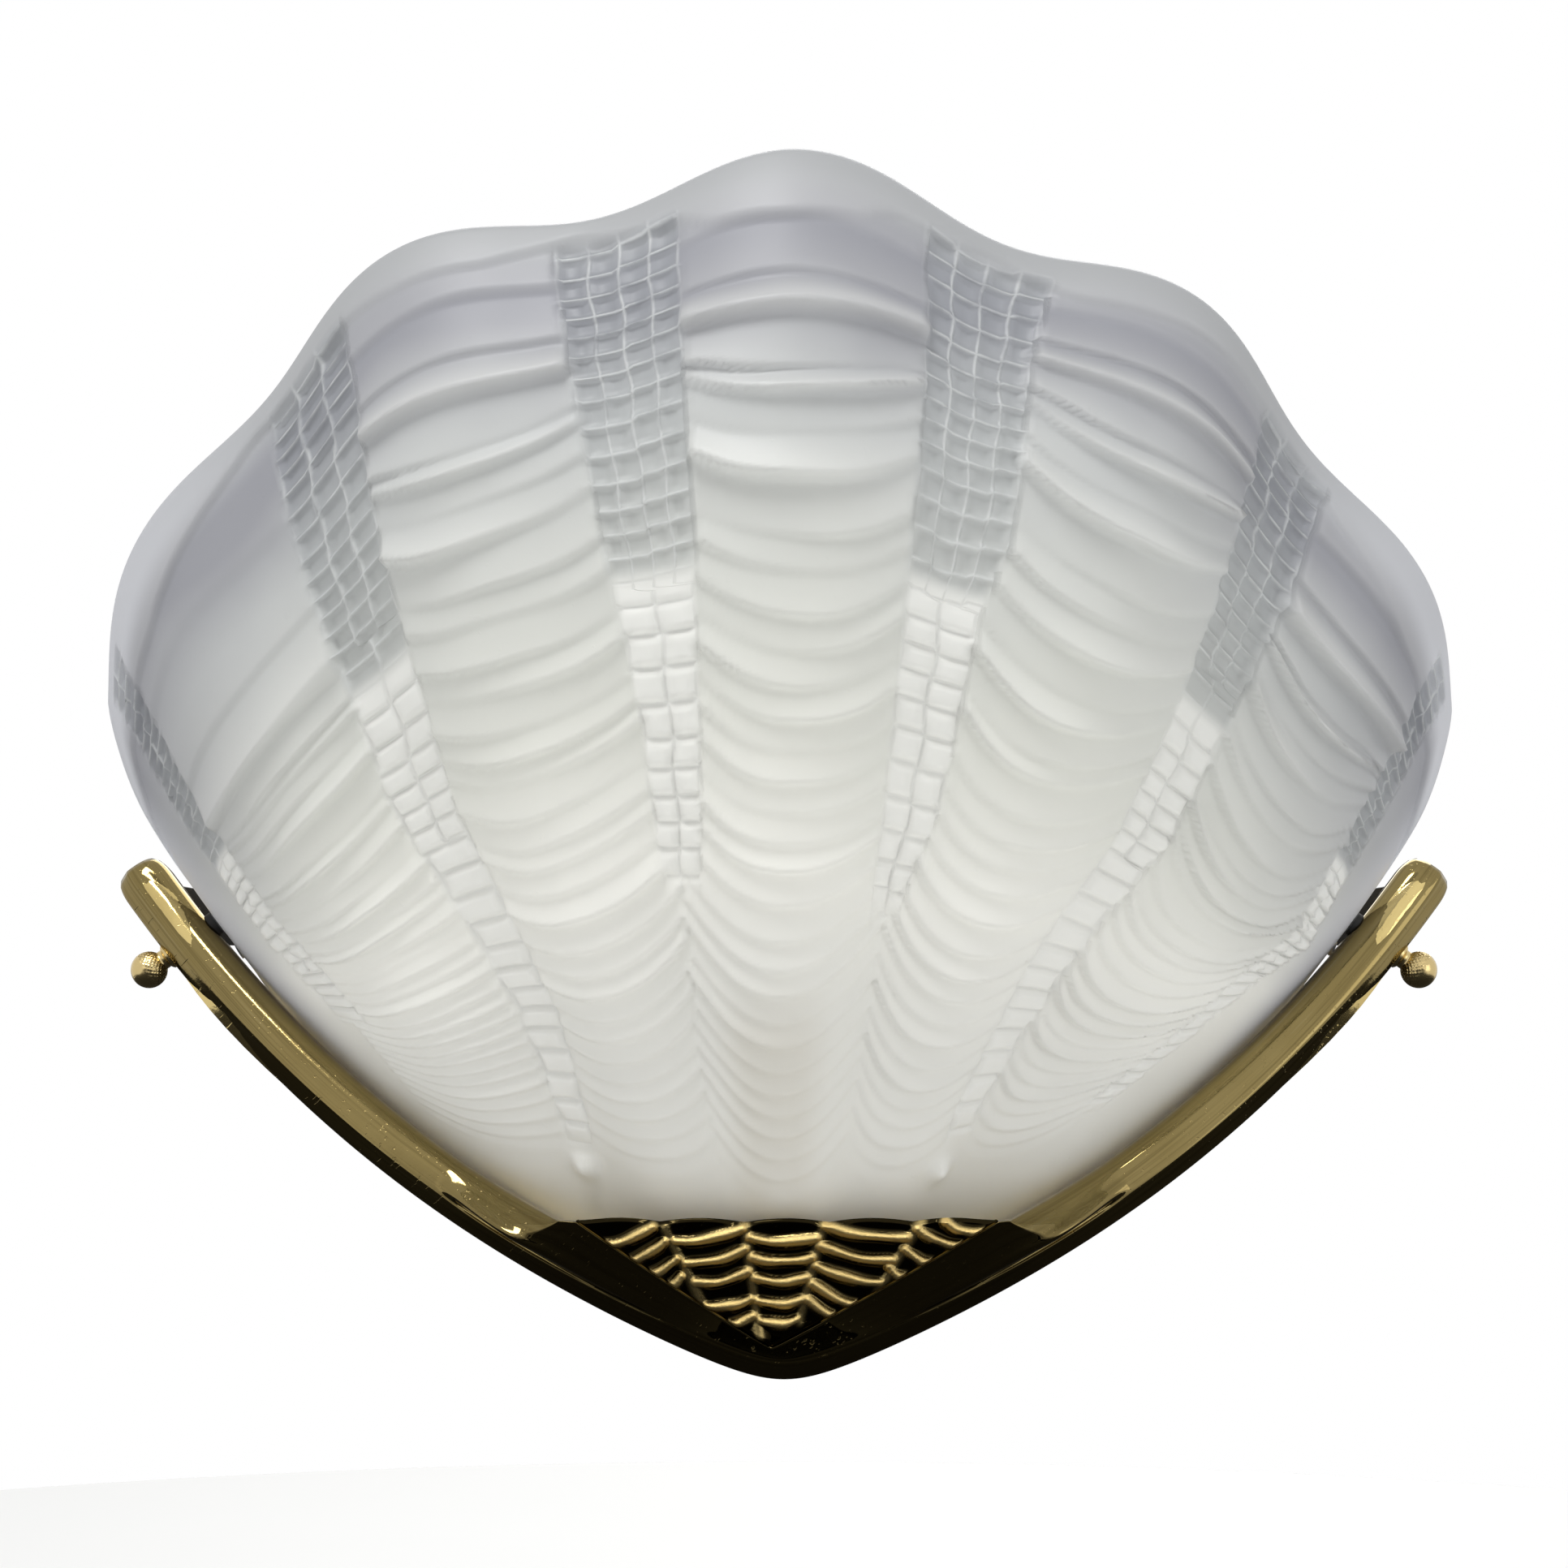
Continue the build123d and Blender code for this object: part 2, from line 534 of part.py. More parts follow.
# Countersunk screws, driven from the back of the plate into the cradle's three bosses.
with BuildPart() as cradle_screws:
    for x, z in cradle_screw_places:
        with BuildSketch(Plane(origin=(x, 0, z), z_dir=(0, -1, 0))):
            Circle(M4_HEAD_RADIUS)
        extrude(amount=countersink_depth, taper=45)
        with BuildSketch(Plane(origin=(x, 0, z), z_dir=(0, -1, 0))):
            Circle(M4_RADIUS)
        extrude(amount=SCREW_LENGTH)
save("cradle_screws", cradle_screws)

with BuildPart() as cable_grommet:
    extrude(ring(front_plane, CABLE_HOLE_RADIUS, GROMMET_BORE_RADIUS), amount=PLATE_THICKNESS)
    flange_plane = front_plane.offset(PLATE_THICKNESS)
    extrude(ring(flange_plane, GROMMET_FLANGE_RADIUS, GROMMET_BORE_RADIUS), amount=GROMMET_FLANGE)
save("cable_grommet", cable_grommet)

# ------------------------------------------------------------------ lampholder bracket
with BuildPart() as holder_bracket:
    with BuildSketch(front_plane.offset(PLATE_THICKNESS)):
        with Locations((0, SHELF_Z + BRACKET_RISE / 2)):
            Rectangle(BRACKET_WIDTH, BRACKET_RISE)
        with Locations(*rivet_places):
            Circle(RIVET_RADIUS, mode=Mode.SUBTRACT)
    extrude(amount=BRACKET_THICKNESS)
    with BuildSketch(Plane.XY.offset(SHELF_Z)):
        with Locations((0, -(PLATE_THICKNESS + SHELF_REACH) / 2)):
            Rectangle(BRACKET_WIDTH, SHELF_REACH - PLATE_THICKNESS)
        with Locations((0, -HOLDER_DEPTH)):
            Circle(M10_RADIUS + THREAD_GAP, mode=Mode.SUBTRACT)
    extrude(amount=BRACKET_THICKNESS)
    shelf_corners = edges().filter_by(Axis.Z).group_by(Axis.Y)[0]
    fillet(shelf_corners, SHELF_CORNER)
save("holder_bracket", holder_bracket)

with BuildPart() as bracket_rivets:
    for x, z in rivet_places:
        with BuildSketch(Plane(origin=(x, 0, z), z_dir=(0, -1, 0))):
            Circle(RIVET_RADIUS)
        extrude(amount=PLATE_THICKNESS + BRACKET_THICKNESS)
        head_plane = Plane(origin=(x, -(PLATE_THICKNESS + BRACKET_THICKNESS), z), z_dir=(0, -1, 0))
        with BuildSketch(head_plane):
            Circle(RIVET_HEAD_RADIUS)
        extrude(amount=RIVET_HEAD, taper=RIVET_HEAD_TAPER)
save("bracket_rivets", bracket_rivets)

# ------------------------------------------------------------------ nipple, nut and washer
shelf_top = SHELF_Z + BRACKET_THICKNESS
with BuildPart() as threaded_nipple:
    nipple_plane = Plane(origin=(0, -HOLDER_DEPTH, SHELF_Z - NIPPLE_BELOW))
    extrude(ring(nipple_plane, M10_RADIUS, NIPPLE_BORE_RADIUS), amount=NIPPLE_LENGTH)
    chamfer(edges().filter_by(GeomType.CIRCLE).group_by(SortBy.RADIUS)[-1], NIPPLE_CHAMFER)
save("threaded_nipple", threaded_nipple)

with BuildPart() as star_washer:
    with BuildSketch(Plane(origin=(0, -HOLDER_DEPTH, SHELF_Z - WASHER_THICKNESS))):
        Circle(NUT_FLATS / 2)
        with PolarLocations(NUT_FLATS / 2, WASHER_TEETH):
            Rectangle(TOOTH_LENGTH, TOOTH_WIDTH)
        Circle(M10_RADIUS + THREAD_GAP, mode=Mode.SUBTRACT)
    extrude(amount=WASHER_THICKNESS)
save("star_washer", star_washer)

with BuildPart() as nipple_nut:
    with BuildSketch(Plane(origin=(0, -HOLDER_DEPTH, SHELF_Z - WASHER_THICKNESS - NUT_HEIGHT))):
        RegularPolygon(NUT_FLATS / 2, 6, major_radius=False)
        Circle(M10_RADIUS + THREAD_GAP, mode=Mode.SUBTRACT)
    extrude(amount=NUT_HEIGHT)
save("nipple_nut", nipple_nut)

# ------------------------------------------------------------------ lampholder
with BuildPart() as holder_cap:
    with BuildSketch(Plane(origin=(0, -HOLDER_DEPTH, shelf_top))):
        Circle(CAP_RADIUS)
    extrude(amount=CAP_HEIGHT)
    chamfer(faces().sort_by(Axis.Z)[0].edges(), CAP_CHAMFER)
    with BuildSketch(Plane(origin=(0, -HOLDER_DEPTH, shelf_top + CAP_NECK))):
        Circle(CAP_RADIUS - BODY_WALL)
    extrude(amount=CAP_HEIGHT, mode=Mode.SUBTRACT)
    with BuildSketch(Plane(origin=(0, -HOLDER_DEPTH, shelf_top))):
        Circle(M10_RADIUS + THREAD_GAP)
    extrude(amount=CAP_NECK, mode=Mode.SUBTRACT)
save("holder_cap", holder_cap)

body_bottom = shelf_top + CAP_HEIGHT
with BuildPart() as holder_body:
    body_plane = Plane(origin=(0, -HOLDER_DEPTH, body_bottom))
    extrude(ring(body_plane, BODY_RADIUS, BODY_RADIUS - BODY_WALL), amount=BODY_HEIGHT)
    extrude(ring(body_plane, BODY_RADIUS - BODY_WALL, CAP_RADIUS - BODY_WALL), amount=BODY_WALL)
    fillet(faces().sort_by(Axis.Z)[-1].edges(), BODY_LIP)
save("holder_body", holder_body)

with BuildPart() as holder_ring:
    ring_plane = Plane(origin=(0, -HOLDER_DEPTH, body_bottom + RING_RISE))
    extrude(ring(ring_plane, RING_RADIUS, BODY_RADIUS + THREAD_GAP), amount=RING_HEIGHT)
    fillet(edges().filter_by(GeomType.CIRCLE).group_by(SortBy.RADIUS)[-1], RING_ROUNDING)
save("holder_ring", holder_ring)

insert_bottom = body_bottom + BODY_WALL
insert_top = insert_bottom + INSERT_HEIGHT
with BuildPart() as holder_insert:
    insert_plane = Plane(origin=(0, -HOLDER_DEPTH, insert_bottom))
    with BuildSketch(insert_plane):
        Circle(BODY_RADIUS - BODY_WALL)
        with Locations((-BLOCK_SCREW_PITCH, 0), (BLOCK_SCREW_PITCH, 0)):
            Circle(WIRE_BORE_RADIUS, mode=Mode.SUBTRACT)
    extrude(amount=INSERT_HEIGHT)
save("holder_insert", holder_insert)

with BuildPart() as holder_terminals:
    for x in (-BLOCK_SCREW_PITCH, BLOCK_SCREW_PITCH):
        terminal_plane = Plane(origin=(x, -HOLDER_DEPTH, insert_bottom - 2 * M3_RADIUS))
        with BuildSketch(terminal_plane):
            Circle(WIRE_BORE_RADIUS)
        extrude(amount=INSERT_HEIGHT + 2 * M3_RADIUS)
save("holder_terminals", holder_terminals)

with BuildPart() as thread_sleeve:
    sleeve_plane = Plane(origin=(0, -HOLDER_DEPTH, insert_top))
    sleeve_inner = THREAD_SLEEVE_RADIUS - THREAD_SLEEVE_WALL
    extrude(ring(sleeve_plane, THREAD_SLEEVE_RADIUS, sleeve_inner), amount=THREAD_SLEEVE_HEIGHT)
save("thread_sleeve", thread_sleeve)

with BuildPart() as centre_contact:
    with BuildSketch(Plane(origin=(0, -HOLDER_DEPTH, insert_top))):
        Rectangle(CONTACT_LENGTH, CONTACT_WIDTH)
    extrude(amount=CONTACT_THICKNESS)
    with BuildSketch(Plane(origin=(0, -HOLDER_DEPTH, insert_top + CONTACT_THICKNESS))):
        Circle(CONTACT_DOT_RADIUS)
    extrude(amount=CONTACT_THICKNESS)
save("centre_contact", centre_contact)

# ------------------------------------------------------------------ lamp
lamp_bottom = insert_top + 2 * CONTACT_THICKNESS + LAMP_SEAT_GAP
lamp_cap_bottom = lamp_bottom + LAMP_CONTACT_HEIGHT
lamp_cap_top = lamp_cap_bottom + LAMP_CAP_LENGTH
lamp_centre = lamp_cap_top + LAMP_NECK_LENGTH + sqrt(LAMP_RADIUS**2 - LAMP_NECK_RADIUS**2)
with BuildPart() as lamp_contact:
    with BuildSketch(Plane(origin=(0, -HOLDER_DEPTH, lamp_bottom))):
        Circle(LAMP_CONTACT_RADIUS)
    extrude(amount=LAMP_CONTACT_HEIGHT)
    fillet(faces().sort_by(Axis.Z)[0].edges(), LAMP_CONTACT_ROUNDING)
save("lamp_contact", lamp_contact)

with BuildPart() as lamp_cap:
    with BuildSketch(Plane(origin=(0, -HOLDER_DEPTH, lamp_cap_bottom))):
        Circle(LAMP_CAP_RADIUS)
    extrude(amount=LAMP_CAP_LENGTH)
    chamfer(faces().sort_by(Axis.Z)[0].edges(), LAMP_CAP_CHAMFER)
save("lamp_cap", lamp_cap)

with BuildPart() as lamp_glass:
    with BuildSketch(Plane(origin=(0, -HOLDER_DEPTH, 0), x_dir=(1, 0, 0), z_dir=(0, -1, 0))):
        with BuildLine():
            neck_top = lamp_cap_top + LAMP_NECK_LENGTH
            inner_radius = LAMP_RADIUS - LAMP_GLASS_WALL
            inner_neck = LAMP_CAP_RADIUS - LAMP_GLASS_WALL
            Polyline(
                (inner_neck, lamp_cap_top),
                (LAMP_CAP_RADIUS, lamp_cap_top),
                (LAMP_NECK_RADIUS, neck_top),
            )
            ThreePointArc(
                (LAMP_NECK_RADIUS, neck_top),
                (LAMP_RADIUS, lamp_centre),
                (0, lamp_centre + LAMP_RADIUS),
            )
            Line((0, lamp_centre + LAMP_RADIUS), (0, lamp_centre + inner_radius))
            ThreePointArc(
                (0, lamp_centre + inner_radius),
                (inner_radius, lamp_centre),
                (LAMP_NECK_RADIUS - LAMP_GLASS_WALL, neck_top),
            )
            Line((LAMP_NECK_RADIUS - LAMP_GLASS_WALL, neck_top), (inner_neck, lamp_cap_top))
        make_face()
    revolve(axis=Axis((0, -HOLDER_DEPTH, 0), (0, 0, 1)))
save("lamp_glass", lamp_glass)

# ------------------------------------------------------------------ terminal block and earth screw
with BuildPart() as terminal_block:
    with BuildSketch(front_plane.offset(PLATE_THICKNESS)):
        with Locations((0, block_z)):
            Rectangle(BLOCK_WIDTH, BLOCK_HEIGHT)
    extrude(amount=block_depth)
    fillet(edges().filter_by(Axis.Y), BLOCK_ROUNDING)
    with BuildSketch(Plane.XY.offset(block_z - BLOCK_HEIGHT / 2)):
        with Locations(*[(x, -wire_depth) for x in block_poles]):
            Circle(WIRE_BORE_RADIUS)
    extrude(amount=BLOCK_HEIGHT, mode=Mode.SUBTRACT)
    with BuildSketch(front_plane.offset(wire_depth)):
        with Locations(*block_screw_places):
            Circle(M3_RADIUS + THREAD_GAP)
    extrude(amount=block_depth, mode=Mode.SUBTRACT)
    with BuildSketch(front_plane.offset(PLATE_THICKNESS)):
        with Locations((0, block_z)):
            Circle(M3_RADIUS + THREAD_GAP)
    extrude(amount=block_depth, mode=Mode.SUBTRACT)
save("terminal_block", terminal_block)

with BuildPart() as terminal_screws:
    with BuildSketch(front_plane.offset(wire_depth + WIRE_BORE_RADIUS)):
        with Locations(*block_screw_places):
            Circle(M3_RADIUS)
    extrude(amount=PLATE_THICKNESS + block_depth - wire_depth - WIRE_BORE_RADIUS - BLOCK_SCREW_SINK)
save("terminal_screws", terminal_screws)

with BuildPart() as block_screw:
    with BuildSketch(front_plane):
        with Locations((0, block_z)):
            Circle(M3_RADIUS)
    extrude(amount=PLATE_THICKNESS + block_depth)
    with BuildSketch(front_plane.offset(PLATE_THICKNESS + block_depth)):
        with Locations((0, block_z)):
            Circle(BLOCK_SCREW_HEAD_RADIUS)
    extrude(amount=BLOCK_SCREW_HEAD, taper=BLOCK_SCREW_TAPER)
save("block_screw", block_screw)

with BuildPart() as earth_washer:
    earth_plane = Plane(origin=(EARTH_X, -PLATE_THICKNESS, EARTH_Z), z_dir=(0, -1, 0))
    extrude(ring(earth_plane, EARTH_WASHER_RADIUS, M4_RADIUS + THREAD_GAP), amount=EARTH_WASHER_THICKNESS)
save("earth_washer", earth_washer)

with BuildPart() as earth_screw:
    with BuildSketch(Plane(origin=(EARTH_X, 0, EARTH_Z), z_dir=(0, -1, 0))):
        Circle(M4_RADIUS)
    extrude(amount=PLATE_THICKNESS + EARTH_WASHER_THICKNESS)
    with BuildSketch(earth_plane.offset(EARTH_WASHER_THICKNESS)):
        Circle(M4_HEAD_RADIUS)
        Rectangle(2 * M4_HEAD_RADIUS, EARTH_SLOT_WIDTH, mode=Mode.SUBTRACT)
    extrude(amount=EARTH_HEAD)
    with BuildSketch(earth_plane.offset(EARTH_WASHER_THICKNESS)):
        Circle(M4_HEAD_RADIUS)
    extrude(amount=EARTH_SLOT_FLOOR)
save("earth_screw", earth_screw)

# ------------------------------------------------------------------ thumb screws
# Each pad is advanced along its screw's axis until it stands PAD_CLEARANCE from the glass.
for side, hand in ((-1, "left"), (1, "right")):
    start = thumb_plane(side)
    reach = thumb_reaches[side]
    with BuildPart() as screw_pad:
        add(pad_disc(side, reach))
        with BuildSketch(start.offset(reach)):
            Circle(M4_RADIUS + THUMB_RUNNING_GAP)
        extrude(amount=PAD_SOCKET, mode=Mode.SUBTRACT)
    save(f"screw_pad_{hand}", screw_pad)
    with BuildPart() as thumb_screw:
        Sphere(THUMB_BALL_RADIUS)
        with BuildSketch(Plane.XY.offset(THUMB_BALL_RADIUS * NECK_START)):
            Circle(NECK_RADIUS)
        with BuildSketch(Plane.XY.offset(COLLAR_START)):
            Circle(COLLAR_RADIUS)
        loft(ruled=True)
        with BuildSketch(Plane.XY.offset(COLLAR_START)):
            Circle(COLLAR_RADIUS)
        extrude(amount=COLLAR_LENGTH)
        with BuildSketch(Plane.XY):
            Circle(M4_RADIUS)
        extrude(amount=reach + PAD_SOCKET - THREAD_GAP)
    placed = start.location * thumb_screw.part
    placed.label = f"thumb_screw_{hand}"
    export_step(placed, f"parts/thumb_screw_{hand}.step")
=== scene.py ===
"""Looks of a shell wall sconce: a pressed glass scallop shade in a cast brass V with two thumb screws.

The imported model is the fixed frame. The shade, the net relief, the bar's polished skin and the thumb screws
are modelled here in fine detail over it, and every other node keeps its shape and gets its finish.
"""

import json
import logging
import math
from dataclasses import dataclass, field
from enum import Enum

import bmesh
import bpy
import numpy as np
from mathutils import Matrix, Vector

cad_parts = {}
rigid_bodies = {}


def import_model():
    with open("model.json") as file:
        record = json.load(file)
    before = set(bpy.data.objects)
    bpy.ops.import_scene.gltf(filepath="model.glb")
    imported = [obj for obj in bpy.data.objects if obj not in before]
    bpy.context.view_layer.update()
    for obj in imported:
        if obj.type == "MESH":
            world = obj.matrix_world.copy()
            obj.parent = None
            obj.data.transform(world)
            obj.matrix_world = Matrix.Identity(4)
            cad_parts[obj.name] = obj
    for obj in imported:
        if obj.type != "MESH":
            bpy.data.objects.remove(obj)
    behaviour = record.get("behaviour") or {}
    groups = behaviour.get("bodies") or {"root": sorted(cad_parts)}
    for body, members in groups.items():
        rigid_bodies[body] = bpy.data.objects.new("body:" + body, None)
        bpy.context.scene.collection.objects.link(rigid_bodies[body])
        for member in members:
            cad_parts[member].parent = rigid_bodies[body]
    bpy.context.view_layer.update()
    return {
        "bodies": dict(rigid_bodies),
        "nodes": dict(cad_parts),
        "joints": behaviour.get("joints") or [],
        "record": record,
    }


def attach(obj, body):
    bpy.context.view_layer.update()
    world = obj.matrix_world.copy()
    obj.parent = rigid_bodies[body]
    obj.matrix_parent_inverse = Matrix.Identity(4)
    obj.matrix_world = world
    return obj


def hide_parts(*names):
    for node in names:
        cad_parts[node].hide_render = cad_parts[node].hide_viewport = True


log = logging.getLogger("sconce")
MM = 0.001


# ------------------------------------------------------------------ shader tools
class Signal:
    """An output socket that takes part in Python arithmetic, adding Math nodes as it goes."""

    def __init__(self, shader: "Shader", socket: bpy.types.NodeSocket) -> None:
        """Keeps the shader that owns the socket.

        Args:
            shader: the shader in which new nodes are made.
            socket: the output socket.
        """
        self.shader = shader
        self.socket = socket

    def calc(self, operation: str, *others: "Signal | float") -> "Signal":
        """Adds a Math node whose first operand is this signal.

        Args:
            operation: the Math node's operation.
            others: the other operands.

        Returns:
            The node's result.
        """
        return self.shader.node("ShaderNodeMath", {"operation": operation}, dict(enumerate((self, *others))))

    def __add__(self, other: "Signal | float") -> "Signal":
        """Sum."""
        return self.calc("ADD", other)

    __radd__ = __add__

    def __sub__(self, other: "Signal | float") -> "Signal":
        """Difference."""
        return self.calc("SUBTRACT", other)

    def __rsub__(self, other: float) -> "Signal":
        """Difference from a number."""
        return self.shader.node("ShaderNodeMath", {"operation": "SUBTRACT"}, {0: other, 1: self})

    def __mul__(self, other: "Signal | float") -> "Signal":
        """Product."""
        return self.calc("MULTIPLY", other)

    __rmul__ = __mul__

    def between(self, low: float, high: float) -> "Signal":
        """Smooth step from 0 at low to 1 at high.

        Args:
            low: value that gives 0.
            high: value that gives 1.

        Returns:
            The stepped signal.
        """
        settings = {"interpolation_type": "SMOOTHSTEP"}
        return self.shader.node("ShaderNodeMapRange", settings, {0: self, 1: low, 2: high, 3: 0.0, 4: 1.0})


class Shader:
    """A material or a world under construction, with one method that makes every node."""

    def __init__(self, owner: "str | bpy.types.World") -> None:
        """Starts with no nodes.

        Args:
            owner: the name of a new material, or the world that is built.
        """
        self.owner = bpy.data.materials.new(owner) if isinstance(owner, str) else owner
        self.owner.use_nodes = True
        self.nodes = self.owner.node_tree.nodes
        self.links = self.owner.node_tree.links
        self.nodes.clear()

    def node(
        self, kind: str, settings: dict | None = None, inputs: dict | None = None, output: int | str = 0
    ) -> Signal:
        """Makes a node.

        Args:
            kind: the node's type.
            settings: attributes set first, or "stops" for a ramp as (position, value or colour) pairs.
            inputs: values or signals for its sockets, by name or number.
            output: the socket that is returned.

        Returns:
            The chosen output.
        """
        made = self.nodes.new(kind)
        for key, value in (settings or {}).items():
            if key == "stops":
                self.fill_ramp(made.color_ramp, value)
            else:
                setattr(made, key, value)
        for key, value in (inputs or {}).items():
            if isinstance(value, Signal):
                self.links.new(value.socket, made.inputs[key])
            else:
                made.inputs[key].default_value = value
        return Signal(self, made.outputs[output])

    @staticmethod
    def fill_ramp(ramp: bpy.types.ColorRamp, stops: list[tuple]) -> None:
        """Sets a ramp's stops.

        Args:
            ramp: the ramp.
            stops: (position, grey or colour) pairs.
        """
        while len(ramp.elements) < len(stops):
            ramp.elements.new(1.0)
        for element, (position, value) in zip(ramp.elements, stops):
            element.position = position
            colour = (value,) * 3 if isinstance(value, (int, float)) else value
            element.color = (*colour, 1.0)

    def place(self) -> Signal:
        """Object coordinates."""
        return self.node("ShaderNodeTexCoord", output="Object")

    def split(self, vector: Signal) -> tuple[Signal, Signal, Signal]:
        """Separates a vector into its three numbers.

        Args:
            vector: the vector.

        Returns:
            Its X, Y and Z.
        """
        first = self.node("ShaderNodeSeparateXYZ", {}, {0: vector})
        outputs = first.socket.node.outputs
        return first, Signal(self, outputs[1]), Signal(self, outputs[2])

    def layer(self, name: str, output: str = "Vector") -> Signal:
        """Values of one of the mesh's own layers, by its name."""
        return self.node("ShaderNodeAttribute", {"attribute_name": name}, output=output)

    def noise(
        self, scale: float, detail: float = 4.0, rough: float = 0.5, at: Signal | None = None
    ) -> Signal:
        """Noise from 0 to 1.

        Args:
            scale: cells per metre.
            detail: octaves.
            rough: strength of the finer octaves.
            at: the coordinates, or None for Object coordinates.

        Returns:
            The noise value.
        """
        inputs = {"Vector": at or self.place(), "Scale": scale, "Detail": detail, "Roughness": rough}
        return self.node("ShaderNodeTexNoise", {}, inputs)

    def ramp(self, value: Signal, stops: list[tuple]) -> Signal:
        """Colour ramp.

        Args:
            value: its factor.
            stops: (position, grey or colour) pairs.

        Returns:
            The colour.
        """
        return self.node("ShaderNodeValToRGB", {"stops": stops}, {0: value})

    def blend(self, factor: Signal | float, first: "Signal | tuple", second: "Signal | tuple") -> Signal:
        """Mixes two colours.

        Args:
            factor: 0 gives the first and 1 the second.
            first: a colour.
            second: a colour.

        Returns:
            The mixed colour.
        """
        pair = [(*c, 1.0) if isinstance(c, tuple) else c for c in (first, second)]
        return self.node("ShaderNodeMix", {"data_type": "RGBA"}, {0: factor, 6: pair[0], 7: pair[1]}, 2)

    def bump(self, height: Signal, distance: float, strength: float = 1.0) -> Signal:
        """Bump from a height.

        Args:
            height: the height, about 0 to 1.
            distance: metres for a height of 1.
            strength: strength of the effect.

        Returns:
            The bumped normal.
        """
        inputs = {"Strength": strength, "Distance": distance, "Height": height}
        return self.node("ShaderNodeBump", {}, inputs)

    def surface(self, **sockets: "Signal | float | tuple") -> bpy.types.Material:
        """Closes the material with a Principled shader.

        Args:
            sockets: its sockets, named with underscores for spaces.

        Returns:
            The finished material.
        """
        named = {key.replace("_", " "): value for key, value in sockets.items()}
        for key, value in named.items():
            if isinstance(value, tuple) and len(value) == 3:
                named[key] = (*value, 1.0)
        self.finish(self.node("ShaderNodeBsdfPrincipled", {}, named))
        return self.owner

    def finish(self, shader: Signal, kind: str = "ShaderNodeOutputMaterial") -> None:
        """Joins a shader to a new output node of this kind."""
        self.links.new(shader.socket, self.nodes.new(kind).inputs["Surface"])


# ------------------------------------------------------------------ finishes
@dataclass(frozen=True)
class SatinGlass:
    """Acid-etched pressed glass with painted light: brighter and warmer low in the bowl, greyer towards the
    rim.
    """

    foot: tuple = (0.89, 0.885, 0.83)
    low: tuple = (1.0, 0.995, 0.93)
    warm: tuple = (0.87, 0.875, 0.81)
    mid: tuple = (0.78, 0.79, 0.74)
    beige: tuple = (0.62, 0.57, 0.46)
    clear: tuple = (0.60, 0.615, 0.61)
    rim: tuple = (0.335, 0.34, 0.375)
    edge: tuple = (0.47, 0.48, 0.49)
    side: tuple = (0.68, 0.69, 0.73)
    line: tuple = (0.86, 0.88, 0.87)
    pane: tuple = (0.36, 0.385, 0.40)
    tile: tuple = (1.0, 1.0, 0.96)

    def build(self) -> bpy.types.Material:
        """Builds the material.

        Returns:
            The material.
        """
        s = Shader("satin_glass")
        across, up, thick = s.split(s.layer("shell"))
        cell_x, cell_y, cell = s.split(s.layer("brick"))
        drift = s.noise(14.0, 3.0) * 0.16 - 0.08
        height = up + drift
        side = across.calc("ABSOLUTE")
        # painted light and shade: bright and warm low in the bowl, grey towards the rim
        stops = [(0.0, self.foot), (0.26, self.foot), (0.42, self.low), (0.54, self.warm), (0.64, self.mid)]
        tone = s.ramp(height, [*stops, (0.80, self.clear), (0.90, self.rim)])
        # painted shadow of the lampholder behind the glass, in its beige, low in the middle
        shadow = (across + 0.03).calc("ABSOLUTE").between(0.17, 0.05) * up.between(0.36, 0.28)
        tone = s.blend(shadow * 0.45, tone, self.beige)
        # crests whiter: partly the thicker glass, partly painted light on the crests and painted shade in the
        # hollows
        tone = s.blend(thick * 0.32, tone, self.tile)
        # painted shade darkens the upper sides; painted lighter tones run along the side edges and the border
        # at the rim
        tone = s.blend(side.between(0.60, 1.00) * height.between(0.35, 0.8) * 0.6, tone, self.rim)
        tone = s.blend(side.between(0.97, 1.08), tone, self.side)
        edge = s.blend(side.between(0.45, 0.95), self.edge, self.side)
        tone = s.blend((up + side.between(0.45, 1.0) * 0.04).between(0.935, 0.985), tone, edge)
        lines = self.grooves(cell_x, cell_y) * cell
        upper = up.between(0.655, 0.675)
        # painted light on the bands: painted shade in the upper panes, painted highlights on their bars,
        # lighter lower tiles, painted shade in their grooves
        tone = s.blend(cell * upper * 0.32, tone, self.pane)
        tone = s.blend(lines * upper * s.noise(150.0).between(0.25, 0.6) * 0.5, tone, self.line)
        tone = s.blend(cell * (1.0 - upper) * 0.8, tone, self.tile)
        tone = s.blend(lines * (1.0 - upper) * 0.14, tone, (0.42, 0.43, 0.42))
        grain = s.noise(2600.0, 2.0) * 0.02
        specks = s.noise(420.0, 1.0).between(0.73, 0.78)
        relief = s.bump(grain + lines * (upper - 0.5) + specks * 0.05, 0.0006, 0.6)
        rough = 0.40 + s.noise(60.0, 3.0) * 0.12
        return s.surface(
            Base_Color=tone,
            Roughness=rough,
            Normal=relief,
            Transmission_Weight=0.22,
            IOR=1.45,
            Subsurface_Weight=0.0,
            Specular_IOR_Level=0.45,
        )

    @staticmethod
    def grooves(cell_x: Signal, cell_y: Signal) -> Signal:
        """Lines between the raised cells of the bands.

        Args:
            cell_x: cells counted across a band.
            cell_y: cells counted up a band.

        Returns:
            1 in a line and 0 inside a cell.
        """
        lines = []
        for count, width in ((cell_x, 0.10), (cell_y, 0.12)):
            off = (count.calc("FRACT") - 0.5).calc("ABSOLUTE")
            lines.append(off.between(0.5 - width, 0.5))
        return lines[0].calc("MAXIMUM", lines[1])


